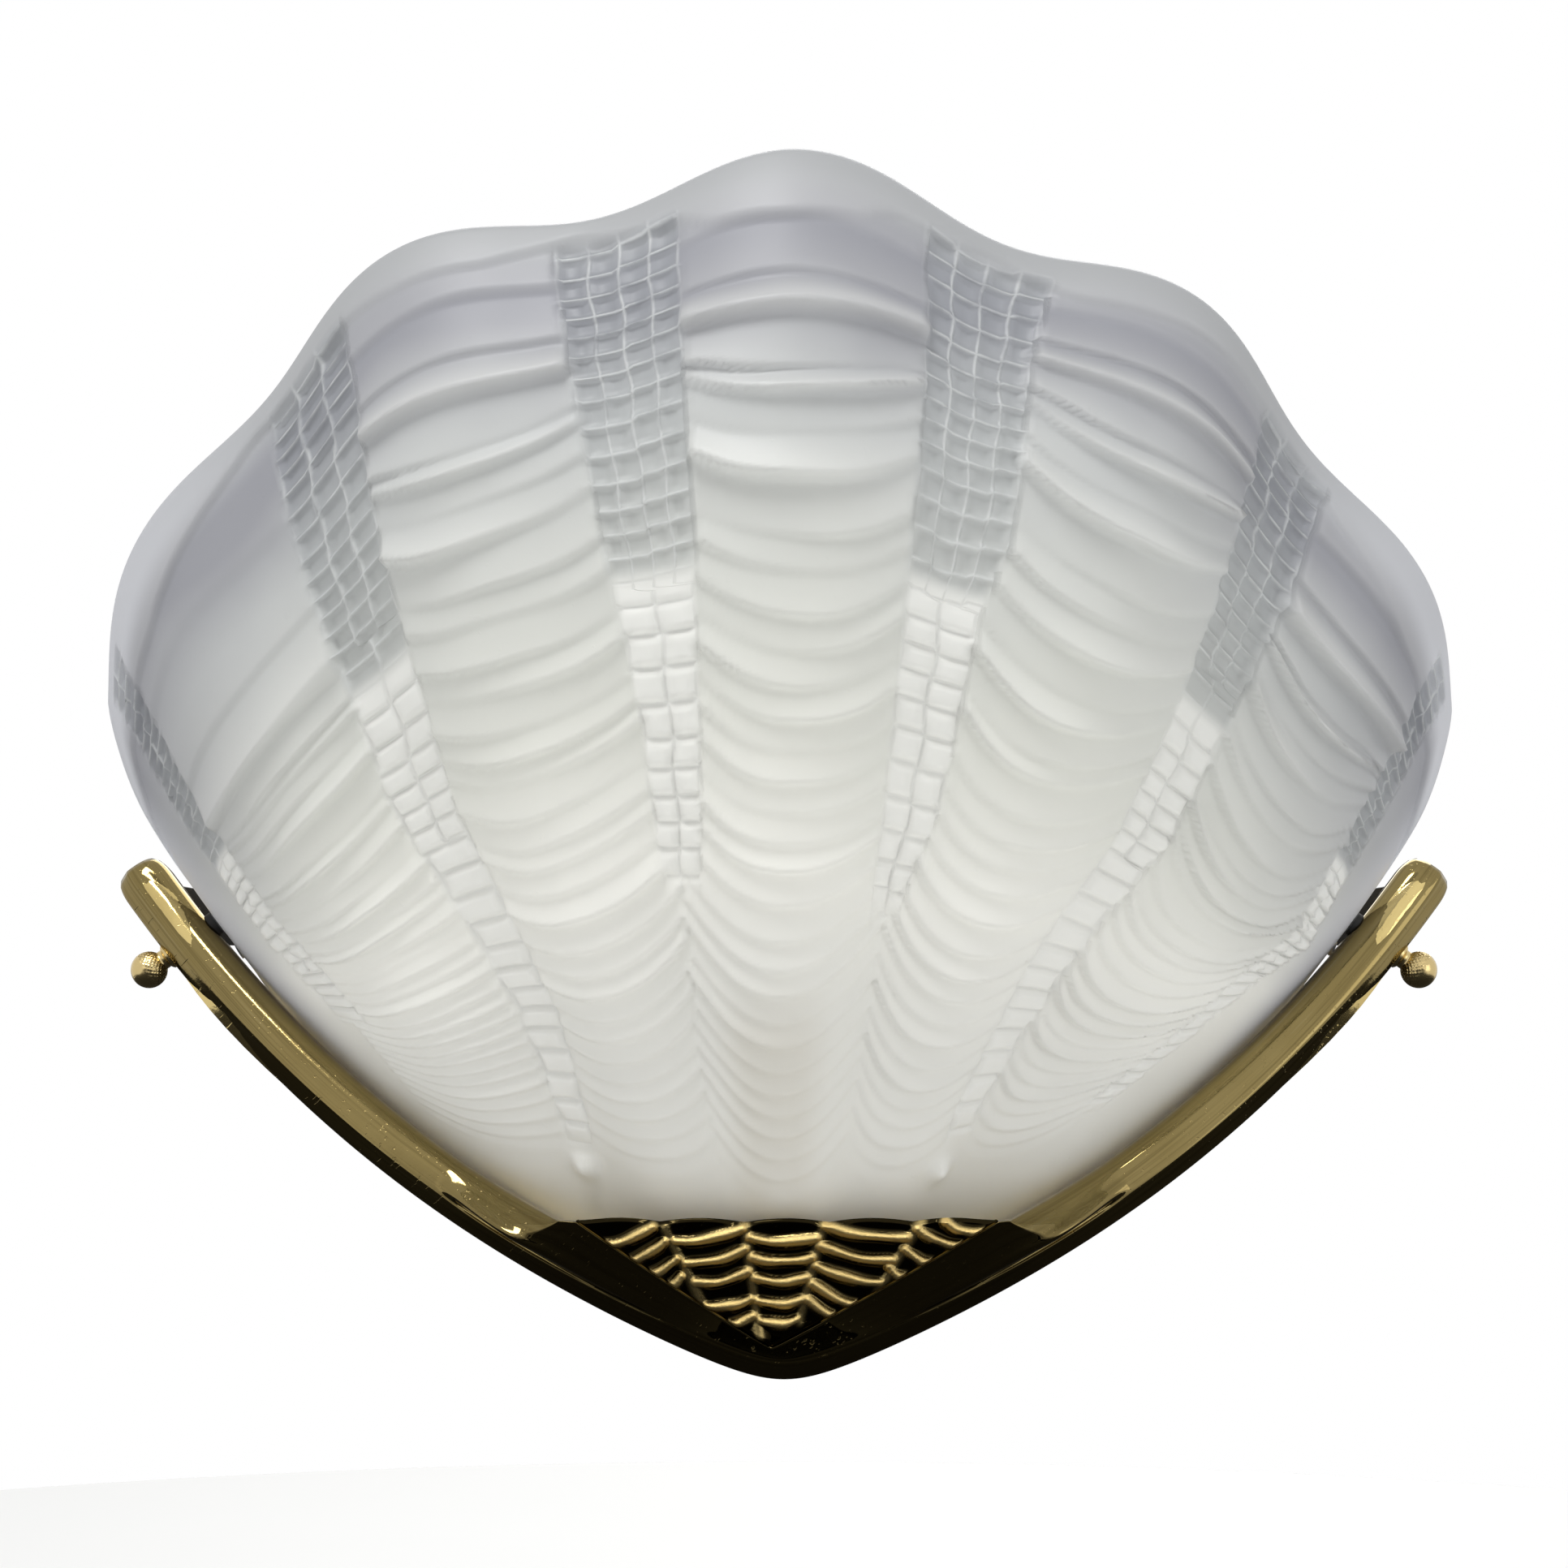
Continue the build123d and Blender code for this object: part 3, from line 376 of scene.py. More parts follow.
@dataclass(frozen=True)
class CastBrass:
    """Polished cast brass with fine scratches, tarnish in patches and, where asked, painted reflections or
    rough matt relief.
    """

    name: str = "polished_brass"
    bright: tuple = (0.80, 0.63, 0.27)
    dull: tuple = (0.50, 0.36, 0.12)
    shine: float = 0.05
    relief: bool = False
    streaked: bool = False

    def build(self) -> bpy.types.Material:
        """Builds the material.

        Returns:
            The material.
        """
        s = Shader(self.name)
        patch = s.noise(35.0, 5.0, 0.6)
        tone = s.blend(patch.between(0.35, 0.75) * 0.5, self.bright, self.dull)
        stretch = s.node("ShaderNodeMapping", {}, {"Vector": s.place(), "Rotation": (0.3, 0.5, 0.8)})
        fine = s.node("ShaderNodeMapping", {}, {"Vector": stretch, "Scale": (1.0, 18.0, 18.0)})
        scratches = s.noise(70.0, 2.0, 0.5, fine).between(0.66, 0.72)
        rough = self.shine + patch * 0.04 + scratches * 0.14
        height = scratches * -0.15 + s.noise(900.0, 3.0) * 0.05
        if self.streaked:
            along = s.layer("bar")
            # painted reflections: light and dark streaks along the bar
            long = s.node("ShaderNodeMapping", {}, {"Vector": along, "Scale": (3.0, 17.0, 1.0)})
            reflection_streak = s.noise(1.0, 4.0, 0.55, long)
            tone = s.blend(reflection_streak.between(0.46, 0.66) * 0.7, tone, (0.24, 0.185, 0.07))
            tone = s.blend(reflection_streak.between(0.40, 0.30), tone, (0.95, 0.80, 0.45))
            way, around, _ = s.split(along)
            # painted dark reflection on the bar's lower face and a painted highlight above it
            tone = s.blend(around.between(0.51, 0.43) * 0.8, tone, (0.16, 0.12, 0.045))
            tone = s.blend(around.between(0.50, 0.56) * 0.6, tone, (0.98, 0.86, 0.50))
            # painted dark reflection, deeper towards the V's point
            tone = s.blend(way.calc("ABSOLUTE").between(0.54, 0.28) * 0.6, tone, (0.06, 0.045, 0.018))
        if self.relief:
            raised = s.layer("raised", "Fac")
            cast = s.noise(1500.0, 4.0, 0.65)
            # near-black in the recesses and matt gold on the ridges
            tone = s.blend(raised, (0.020, 0.015, 0.006), (0.95, 0.72, 0.30))
            rough = rough + raised * 0.42
            height = height + cast * raised * 1.6
        return s.surface(
            Base_Color=tone, Metallic=1.0, Roughness=rough, Normal=s.bump(height, 0.0002, 0.8)
        )


@dataclass(frozen=True)
class PlainMetal:
    """Small metal parts: bright zinc, drawn brass, nickel or black-painted steel."""

    name: str
    tone: tuple
    metallic: float
    shine: float
    grain: float = 0.3

    def build(self) -> bpy.types.Material:
        """Builds the material.

        Returns:
            The material.
        """
        s = Shader(self.name)
        patch = s.noise(160.0, 4.0)
        dark = tuple(c * 0.72 for c in self.tone)
        tone = s.blend(patch.between(0.35, 0.8) * 0.6, self.tone, dark)
        height = s.noise(2400.0, 2.0)
        return s.surface(
            Base_Color=tone,
            Metallic=self.metallic,
            Roughness=self.shine + patch * 0.14,
            Normal=s.bump(height, 0.0001, self.grain),
        )


@dataclass(frozen=True)
class Moulded:
    """Moulded plastic, glazed ceramic, rubber or opal glass: coloured in the mass with a faint mottle."""

    name: str
    tone: tuple
    shine: float
    coat: float = 0.0
    transmission: float = 0.0
    mottle: float = 0.12

    def build(self) -> bpy.types.Material:
        """Builds the material.

        Returns:
            The material.
        """
        s = Shader(self.name)
        patch = s.noise(90.0, 5.0, 0.6)
        dark = tuple(c * 0.82 for c in self.tone)
        tone = s.blend(patch.between(0.3, 0.8) * self.mottle * 4, self.tone, dark)
        return s.surface(
            Base_Color=tone,
            Roughness=self.shine + patch * 0.1,
            Normal=s.bump(s.noise(1800.0, 3.0), 0.0001, 0.25),
            Coat_Weight=self.coat,
            Transmission_Weight=self.transmission,
        )


class Finish(Enum):
    """The record's material slots and the finish of each."""

    pressed_glass = SatinGlass()
    polished_brass = CastBrass()
    turned_brass = CastBrass("turned_brass", (0.76, 0.59, 0.28), (0.36, 0.25, 0.10), 0.20)
    black_steel = PlainMetal("black_steel", (0.022, 0.022, 0.024), 0.0, 0.38, 0.6)
    zinc_steel = PlainMetal("zinc_steel", (0.62, 0.63, 0.64), 1.0, 0.28)
    contact_brass = PlainMetal("contact_brass", (0.74, 0.57, 0.26), 1.0, 0.24)
    cream_plastic = Moulded("cream_plastic", (0.72, 0.62, 0.42), 0.32)
    white_ceramic = Moulded("white_ceramic", (0.84, 0.83, 0.78), 0.16, 0.6)
    black_rubber = Moulded("black_rubber", (0.020, 0.020, 0.020), 0.62)
    opal_glass = Moulded("opal_glass", (0.92, 0.90, 0.84), 0.12, 0.4, 0.25)
    nickel_cap = PlainMetal("nickel_cap", (0.70, 0.69, 0.66), 1.0, 0.22)


class Paintbox:
    """Builds each finish once and hands out its material."""

    def __init__(self) -> None:
        """Starts with no finish built."""
        self.made: dict[str, bpy.types.Material] = {}

    def get(self, slot: str) -> bpy.types.Material:
        """Material of a slot.

        Args:
            slot: the record's slot name.

        Returns:
            Its material.
        """
        if slot not in self.made:
            self.made[slot] = Finish[slot].value.build()
        return self.made[slot]


# ------------------------------------------------------------------ mesh tools
def smooth(value: np.ndarray, low: float, high: float) -> np.ndarray:
    """Smooth step from 0 at low to 1 at high.

    Args:
        value: the values.
        low: where the step starts.
        high: where it ends.

    Returns:
        The stepped values.
    """
    share = np.clip((value - low) / (high - low), 0.0, 1.0)
    return share * share * (3 - 2 * share)


def move_to(bm: bmesh.types.BMesh, verts: list, points: np.ndarray) -> None:
    """Moves vertices to points given in millimetres.

    Args:
        bm: the mesh, whose normals are updated.
        verts: the vertices.
        points: one row for each vertex.
    """
    for vert, point in zip(verts, points * MM):
        vert.co = point
    bm.normal_update()


def close(bm: bmesh.types.BMesh, name: str, body: str, slot: str, paint: Paintbox) -> bpy.types.Object:
    """Turns a finished mesh into a piece that rides on a body.

    Args:
        bm: the mesh, in metres in the row frame.
        name: the piece's name.
        body: the CAD body it rides on.
        slot: its material slot.
        paint: the finishes.

    Returns:
        The piece.
    """
    mesh = bpy.data.meshes.new(name)
    bm.to_mesh(mesh)
    bm.free()
    mesh.shade_smooth()
    mesh.materials.append(paint.get(slot))
    piece = bpy.data.objects.new(name, mesh)
    bpy.context.scene.collection.objects.link(piece)
    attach(piece, body)
    log.info("%s: %d faces on %s", name, len(mesh.polygons), body)
    return piece


# ------------------------------------------------------------------ the V of the cradle
@dataclass(frozen=True)
class VBar:
    """Centreline of the V-shaped bar, as the CAD draws it, in millimetres."""

    reach: float = 141.0
    arm_depth: float = 12.0
    prow_depth: float = 52.0
    prow_z: float = -88.3
    rounding: float = 8.0
    prow_slope: float = 0.45
    arm_slope: float = 1.28
    half_height: float = 5.5
    ridge: float = 4.5

    @property
    def bend(self) -> float:
        """Growth of the slope along the arm."""
        return (self.arm_slope - self.prow_slope) / (3 * self.reach**2)

    def height(self, x: np.ndarray) -> np.ndarray:
        """Height of the centreline.

        Args:
            x: distances from the middle.

        Returns:
            The Z of each point.
        """
        far = np.sqrt(x * x + self.rounding**2)
        rise = self.prow_slope * (far - self.rounding) + self.bend * (far**3 - self.rounding**3)
        return self.prow_z + rise

    def depth(self, x: np.ndarray) -> np.ndarray:
        """Depth of the centreline at a distance x from the middle."""
        return self.prow_depth - (self.prow_depth - self.arm_depth) * (x / self.reach) ** 2

    def centre(self, x: np.ndarray) -> np.ndarray:
        """Points of the centreline."""
        return np.stack([x, -self.depth(x), self.height(x)], -1)

    def square(self, x: np.ndarray) -> tuple[np.ndarray, np.ndarray]:
        """Unit vectors square to the bar: forward out of the wall, and up out of the V.

        Args:
            x: distances from the middle.

        Returns:
            The forward and the upward vectors.
        """
        far = np.sqrt(x * x + self.rounding**2)
        slope = self.prow_slope * x / far + 3 * self.bend * far * x
        fall = 2 * (self.prow_depth - self.arm_depth) * x / self.reach**2
        along = np.stack([np.ones_like(x), fall, slope], -1)
        along /= np.linalg.norm(along, axis=-1, keepdims=True)
        forward = np.array([0.0, -1.0, 0.0]) + along * along[..., 1:2]
        forward /= np.linalg.norm(forward, axis=-1, keepdims=True)
        return forward, np.cross(-along, forward)


# ------------------------------------------------------------------ glass shade
@dataclass(frozen=True)
class Swags:
    """Hanging folds of one lobe, each standing out at its lower edge and fading upwards.

    terrace is the rise of the uppermost strong fold, sag how far the folds hang, power their strength, and
    seed sets their irregularities.
    """

    terrace: float
    sag: float
    power: float
    seed: int
    base_terrace: float = 0.856
    step: float = 0.24

    CRESTS = (
        0.12, 0.148, 0.168, 0.188, 0.209, 0.228, 0.247, 0.268, 0.290, 0.310, 0.332,
        0.352, 0.374, 0.401, 0.425, 0.446, 0.467, 0.490, 0.521, 0.541, 0.567, 0.592,
        0.621, 0.658, 0.680, 0.725, 0.757, 0.785, 0.807, 0.856, 0.884, 0.935, 1.05,
    )
    STRENGTHS = (
        0.0, 0.3, 0.35, 0.4, 0.5, 0.6, 0.7, 0.6, 0.8, 0.7, 0.9, 0.8, 0.8, 1.0, 0.7,
        0.6, 0.5, 0.5, 0.9, 0.5, 0.7, 0.5, 0.6, 0.7, 0.5, 1.1, 0.5, 1.0, 0.6, 1.2, 0.5, 0.4, 0.2,
    )

    def heights(self, share: np.ndarray, rise: np.ndarray) -> np.ndarray:
        """Heights of the folds, from 0 in a hollow to about 1 on a crest.

        Args:
            share: place across the lobe, from -1 to 1.
            rise: place up the fan.

        Returns:
            The heights.
        """
        rng = np.random.default_rng(self.seed)
        crests, strengths = np.array(self.CRESTS), np.array(self.STRENGTHS)
        loose = smooth(crests, 0.36, 0.52) * (1 - smooth(crests, 0.82, 0.85))
        crests = crests + rng.uniform(-0.004, 0.004, crests.shape) * loose
        strengths = strengths * rng.uniform(0.6, 1.2, crests.shape)
        level = np.interp(rise, (0.0, 0.25, self.terrace, 1.0), (0.0, 0.25, self.base_terrace, 1.0))
        levels = (0.15, 0.25, 0.4, 0.6, 0.75, 0.82, 0.86, 0.95)
        drop = np.interp(level, levels, (0.030, 0.050, 0.060, 0.078, 0.086, 0.068, 0.018, 0.006))
        phases = rng.uniform(0, 2 * np.pi, 6)
        free = smooth(level, 0.30, 0.50)
        wander = 0.004 * np.sin(1.4 * share + 11 * level + phases[0]) * free
        wander += 0.0015 * np.sin(4.1 * share - 23 * level + phases[1]) * free
        level = level - self.sag * drop * np.abs(share) ** 2.1 + wander
        place = np.interp(level, crests, np.arange(len(crests)))
        lower = np.clip(np.floor(place).astype(int), 0, len(crests) - 2)
        phase = place - lower
        fade = 0.8 + 0.45 * np.sin(2.3 * share[None] + 2.4 * np.arange(len(crests))[:, None] + phases[2])
        fade = 1 + (fade - 1) * loose[:, None]
        columns = np.arange(share.size)
        below = strengths[lower] * fade[lower, columns]
        above = strengths[lower + 1] * fade[lower + 1, columns]
        step = smooth(phase, 1 - self.step, 1.0)
        heights = below * (1 - phase) ** 1.5 * (1 - step) + above * step
        return self.power * np.clip(heights, 0, 1.5) * smooth(level, 0.12, 0.20)


# the five lobes from left to right, between two plain side strips
SWAGS = (
    Swags(0.69, 0.3, 0.0, 1),
    Swags(0.69, 0.5, 0.8, 2),
    Swags(0.846, 0.8, 0.95, 3),
    Swags(0.856, 1.0, 1.0, 4),
    Swags(0.880, 1.05, 1.1, 5),
    Swags(0.80, 1.25, 1.25, 6),
    Swags(0.80, 1.0, 0.0, 7),
)


@dataclass
class ShellShade:
    """Five-lobed pressed glass shell with swags on its lobes and brick-like bands between them.

    Lengths are in millimetres. turn runs across the fan, with 0 in its middle and 1 at its outer ribs, and
    rise runs up it, from 0 at the foot to 1 at the rim.
    """

    paint: Paintbox
    bar: VBar = field(default_factory=VBar)
    fan_z: float = -64.0
    fan_angle: float = 54.9
    fan_end: float = 1.16
    ribs: tuple = (0.211, 0.6, 1.0)
    rim_radius: float = 213.6
    rim_fall: float = 37.0
    rim_scallop: float = 3.9
    rim_skew: float = 0.03
    rim_tilt: float = 3.4
    rim_corner: float = 32.9
    rim_corner_start: float = 0.94
    foot_corner_start: float = 0.85
    rim_depth: float = 92.0
    rim_end_depth: float = 14.0
    belly: float = 44.0
    lobe_swell: float = 5.0
    lobe_start: float = 0.35
    thickness: float = 4.0
    setback: float = 6.5
    retreat: float = 3.0
    seat: float = 2.2
    gape: float = 12.0
    gape_power: float = 8.0
    lower_splay: float = 33.0
    upper_splay: float = 32.0
    roll: float = -0.12
    shift: float = 0.8
    columns: int = 280
    rows: int = 312
    coarser: int = 4
    plain_rise: float = 0.15
    plain_share: float = 0.05
    swag_height: float = 2.7
    sunk: float = 1.2
    border_height: float = 0.7
    cell_height: float = 1.1
    edge_round: float = 2.0
    turn_length: float = 175.0
    rise_length: float = 230.0
    nub_height: float = 3.0
    nub_radius: float = 2.6
    nub_places: tuple = ((-0.603, 0.138), (0.465, 0.153))
    nub_turn_length: float = 95.0
    nub_rise_length: float = 215.0

    def swell(self, turn: np.ndarray) -> np.ndarray:
        """Share of the lobes' full swell.

        Args:
            turn: place across the fan.

        Returns:
            0 on a rib and 1 in the middle of a lobe.
        """
        edges = (-self.ribs[0],) + self.ribs
        side = np.abs(turn)
        found = np.zeros_like(turn)
        for start, end in reversed(list(zip(edges, edges[1:]))):
            inside = side < end
            wave = (1 - np.cos(2 * np.pi * (side - start) / (end - start))) / 2
            found = np.where(inside, wave, found)
        return found

    def foot(self, turn: np.ndarray) -> np.ndarray:
        """Foot of the glass, behind the lip of the bar.

        Args:
            turn: place across the fan.

        Returns:
            The points.
        """
        side = np.abs(turn)
        corner = np.maximum(0, side - self.foot_corner_start) / (self.fan_end - self.foot_corner_start)
        x = self.bar.reach * (0.411 * side + 0.071 * side**3 + 0.319 * corner**2)
        lift = self.seat + self.gape * (x / self.bar.reach) ** self.gape_power
        point = self.bar.centre(x) + self.bar.square(x)[1] * lift[..., None]
        setback = self.setback + self.retreat * np.minimum(side, 1) ** 4
        point[..., 1] = -(self.bar.depth(x) - setback)
        point[..., 0] *= np.where(turn < 0, -1, 1)
        return point

    def rim(self, turn: np.ndarray) -> np.ndarray:
        """Rim of the glass.

        Args:
            turn: place across the fan.

        Returns:
            The points.
        """
        spread = np.minimum(np.abs(turn), 1)
        radius = self.rim_radius - self.rim_fall * turn**2
        radius += self.rim_scallop * (1 - spread) * (2 * self.swell(turn - self.rim_skew) - 1)
        radius -= self.rim_tilt * np.sin(np.pi * turn / self.fan_end)
        corner = np.maximum(0, np.abs(turn) - self.rim_corner_start) / (self.fan_end - self.rim_corner_start)
        radius -= self.rim_corner * corner**1.5
        angle = np.radians(self.fan_angle * turn)
        depth = self.rim_end_depth + (self.rim_depth - self.rim_end_depth) * self.middle(turn)
        return np.stack([radius * np.sin(angle), -depth, self.fan_z + radius * np.cos(angle)], -1)

    def middle(self, turn: np.ndarray) -> np.ndarray:
        """1 in the middle of the fan and 0 at its side edges."""
        return np.maximum(0, np.cos(np.pi / 2 * turn / self.fan_end))

    def bowl(self, turn: np.ndarray, rise: np.ndarray) -> np.ndarray:
        """Plain bowl without lobes.

        Args:
            turn: place across the fan.
            rise: place up the fan.

        Returns:
            The points.
        """
        side = np.where(turn < 0, -1.0, 1.0)
        spread = np.minimum(np.abs(turn), 1)
        middle = self.middle(turn)
        foot, rim = self.foot(turn), self.rim(turn)
        chord = np.hypot(rim[..., 0] - foot[..., 0], rim[..., 2] - foot[..., 2])
        pull = 0.27 * chord
        share = chord / (self.rim_radius + 11)
        lower, upper = np.radians(self.lower_splay * spread**3), np.radians(self.upper_splay * spread**2)
        bulge = -(4 + 21 * middle) * share
        first = foot + np.stack([side * pull * np.sin(lower), bulge, pull * np.cos(lower)], -1)
        bulge = (6 + self.belly * middle) * share
        second = rim - np.stack([side * pull * np.sin(upper), bulge, pull * np.cos(upper)], -1)
        rise = rise[..., None]
        left = 1 - rise
        return foot * left**3 + first * (3 * left**2 * rise) + second * (3 * left * rise**2) + rim * rise**3

    def frame(self, turn: np.ndarray, rise: np.ndarray) -> tuple[np.ndarray, np.ndarray]:
        """Plain bowl with its normals.

        Args:
            turn: place across the fan.
            rise: place up the fan.

        Returns:
            The points, and unit vectors that point outwards.
        """
        step = 1e-3
        end = self.fan_end
        right, left = np.minimum(turn + step, end), np.maximum(turn - step, -end)
        across = self.bowl(right, rise) - self.bowl(left, rise)
        upward = self.bowl(turn, np.minimum(rise + step, 1)) - self.bowl(turn, np.maximum(rise - step, 0))
        normal = np.cross(across, upward)
        normal /= np.linalg.norm(normal, axis=-1, keepdims=True)
        return self.bowl(turn, rise), normal

    @staticmethod
    def bands(rise: np.ndarray) -> list[tuple[np.ndarray, np.ndarray]]:
        """Both edges of each brick-like band, in turns, at each height.

        Args:
            rise: the heights.

        Returns:
            (left edge, right edge) for the six bands from left to right.
        """
        left_in = np.interp(rise, (0.31, 0.45, 0.54, 0.69, 0.94), (0.193, 0.143, 0.123, 0.104, 0.103))
        left_out = np.interp(rise, (0.24, 0.45, 0.55, 0.85, 0.98), (0.222, 0.223, 0.211, 0.225, 0.232))
        right_in = np.interp(rise, (0.31, 0.48, 0.63, 0.84, 0.95), (0.164, 0.159, 0.150, 0.144, 0.137))
        right_out = np.interp(
            rise, (0.38, 0.49, 0.65, 0.72, 0.88, 1.0), (0.207, 0.254, 0.250, 0.269, 0.256, 0.278)
        )
        far_left_in = np.interp(rise, (0.15, 0.32, 0.52, 0.62, 0.88), (0.567, 0.502, 0.531, 0.499, 0.446))
        far_left_out = np.interp(rise, (0.14, 0.32, 0.55, 0.66, 0.99), (0.631, 0.605, 0.636, 0.610, 0.573))
        far_right_in = np.interp(rise, (0.22, 0.38, 0.50, 0.61, 0.89), (0.451, 0.491, 0.559, 0.560, 0.532))
        far_right_out = np.interp(rise, (0.21, 0.38, 0.53, 0.76, 1.0), (0.527, 0.597, 0.651, 0.638, 0.641))
        edge_left = np.interp(rise, (0.36, 0.54, 0.73, 0.91), (0.939, 0.953, 0.929, 0.897))
        edge_right = np.interp(rise, (0.20, 0.32, 0.53, 0.72, 0.90), (0.786, 0.877, 0.980, 0.925, 0.887))
        half = 0.03
        return [
            (-edge_left - half, -edge_left + half),
            (-far_left_out, -far_left_in),
            (-left_out, -left_in),
            (right_in, right_out),
            (far_right_in, far_right_out),
            (edge_right - half, edge_right + half),
        ]

    def bricks(self, turn: np.ndarray, rise: np.ndarray) -> tuple[np.ndarray, np.ndarray]:
        """Share of band at each point, and the counts of its cells.

        Args:
            turn: place across the fan.
            rise: place up the fan.

        Returns:
            The share from 0 to 1, and rows of (cells across, cells up, share).
        """
        starts = (0.33, 0.15, 0.40, 0.38, 0.17, 0.20)
        many = (
            np.select([rise > 0.45], [2.0], 1.0),
            np.select([rise > 0.70, rise > 0.50], [3.0, 2.0], 1.0),
            np.select([rise > 0.655, rise > 0.40], [4.0, 2.0], 1.0),
        )
        band = np.zeros_like(turn)
        cell = np.zeros(turn.shape + (3,))
        for index, (left, right) in enumerate(self.bands(rise)):
            inside = smooth(turn, left - 0.004, left + 0.006)
            inside *= 1 - smooth(turn, right - 0.006, right + 0.004)
            inside *= smooth(rise, starts[index], starts[index] + 0.05) * (1 - smooth(rise, 0.962, 0.975))
            across = (turn - left) / (right - left) * many[min(index, 5 - index)]
            upward = np.interp(rise, (0.10, 0.40, 0.64, 0.70, 0.98), (0.0, 12.0, 22.0, 24.7, 37.7))
            upward = upward + 0.22 * np.sin(31 * rise + 2.1 * index)
            upward = upward + 0.13 * np.sin(5 * np.floor(across) + index)
            chosen = inside > band
            for axis, value in enumerate((across + 0.06 * np.sin(90 * rise), upward, inside)):
                cell[..., axis] = np.where(chosen, value, cell[..., axis])
            band = np.maximum(band, inside)
        return band, cell

    def fold_depth(self, rise: np.ndarray) -> np.ndarray:
        """Height of a full fold, which is less low on the shell."""
        return self.swag_height * np.interp(rise, (0.2, 0.5, 0.7), (0.6, 0.75, 1.0))

    def relief(self, turn: np.ndarray, rise: np.ndarray) -> tuple[np.ndarray, np.ndarray]:
        """Height of the pattern over the plain lobes, and the counts of the raised cells.

        Args:
            turn: place across the fan.
            rise: place up the fan.

        Returns:
            Heights in millimetres, and rows of (cells across, cells up, share of band).
        """
        band, cell = self.bricks(turn, rise)
        middles = [(left + right) / 2 for left, right in self.bands(rise)]
        bounds = [np.full_like(turn, -self.fan_end - 0.1), *middles, np.full_like(turn, self.fan_end + 0.1)]
        swags = np.zeros_like(turn)
        for swag, left, right in zip(SWAGS, bounds, bounds[1:]):
            share = np.clip(2 * (turn - left) / (right - left) - 1, -1, 1)
            inside = (turn >= left) & (turn < right)
            swags = np.where(inside, swag.heights(share, rise), swags)
        border = np.interp(
            np.abs(turn),
            (0.0, 0.07, 0.10, 0.21, 0.30, 0.38, 0.46, 0.60, 0.80, 1.0),
            (0.931, 0.940, 0.958, 0.975, 0.952, 0.952, 0.962, 0.965, 0.897, 0.90),
        )
        above = smooth(rise, border - 0.004, border + 0.008)
        sunk = self.sunk * smooth(rise, 0.3, 0.6) * (1 - smooth(np.abs(turn), 0.75, 0.95)) * (1 - above)
        height = self.fold_depth(rise) * swags * (1 - band) * (1 - above) - sunk + self.border_height * above
        upper = smooth(rise, 0.62, 0.70)
        off = np.abs(cell[..., :2] % 1.0 - 0.5)
        pane = (1 - smooth(off[..., 0], 0.34, 0.47)) * (1 - smooth(off[..., 1], 0.30, 0.46))
        tile = pane * (1 - upper) + (0.9 - pane) * upper
        height += band * (self.cell_height * tile - 0.4 - 0.3 * upper)
        height += self.nubs(turn, rise)
        return height * (1 - smooth(np.abs(turn), 1.03, 1.10)), cell

    def nubs(self, turn: np.ndarray, rise: np.ndarray) -> np.ndarray:
        """Two small round nubs at the lower ends of the outer bands.

        Args:
            turn: place across the fan.
            rise: place up the fan.

        Returns:
            Their heights.
        """
        total = np.zeros_like(turn)
        for nub_turn, nub_rise in self.nub_places:
            aside = (turn - nub_turn) * self.nub_turn_length
            away = np.hypot(aside, (rise - nub_rise) * self.nub_rise_length)
            total += self.nub_height * np.exp(-((away / self.nub_radius) ** 2))
        return total

    def rounding(self, turn: np.ndarray, rise: np.ndarray) -> np.ndarray:
        """Rounding of the rim and the side edges.

        Args:
            turn: place across the fan.
            rise: place up the fan.

        Returns:
            How far each face draws in.
        """
        side = (self.fan_end - np.abs(turn)) * self.turn_length
        top = (1 - rise) * self.rise_length
        near = np.clip(np.minimum(side, top) / self.edge_round, 0, 1)
        return self.thickness / 2 * (1 - np.sqrt(1 - (1 - near) ** 2)) * 0.95

    def turned(self, points: np.ndarray, rise: np.ndarray) -> np.ndarray:
        """Turns and shifts the rim a little over the foot.

        Args:
            points: the points.
            rise: place of each up the fan.

        Returns:
            The moved points.
        """
        angle = np.radians(self.roll * rise)
        x, z = points[..., 0], points[..., 2] - self.fan_z
        rolled = points.copy()
        rolled[..., 0] = x * np.cos(angle) + z * np.sin(angle) + self.shift * rise
        rolled[..., 2] = self.fan_z - x * np.sin(angle) + z * np.cos(angle)
        return rolled

    def sheet(self, bm: bmesh.types.BMesh, face: int) -> list[bmesh.types.BMEdge]:
        """Adds the outer face with its relief, or the plain and coarser inner face.

        Args:
            bm: the mesh, with its two layers.
            face: 0 for the outer face and 1 for the inner.

        Returns:
            The edges of its border.
        """
        shell = bm.verts.layers.float_vector["shell"]
        brick = bm.verts.layers.float_vector["brick"]
        finer = 1 if face == 0 else self.coarser
        made = bmesh.ops.create_grid(
            bm, x_segments=self.columns // finer, y_segments=self.rows // finer, size=1.0
        )
        verts = made["verts"]
        flat = np.array([v.co[:2] for v in verts])
        turn = flat[:, 0] * self.fan_end
        rise = np.interp((flat[:, 1] + 1) / 2, (0.0, self.plain_share, 1.0), (0.0, self.plain_rise, 1.0))
        point, normal = self.frame(turn, rise)
        out = self.lobe_swell * self.swell(turn) * np.minimum(1, rise / self.lobe_start)
        draw = self.rounding(turn, rise)
        cell, thick = np.zeros((len(verts), 3)), np.zeros(len(verts))
        if face == 0:
            height, cell = self.relief(turn, rise)
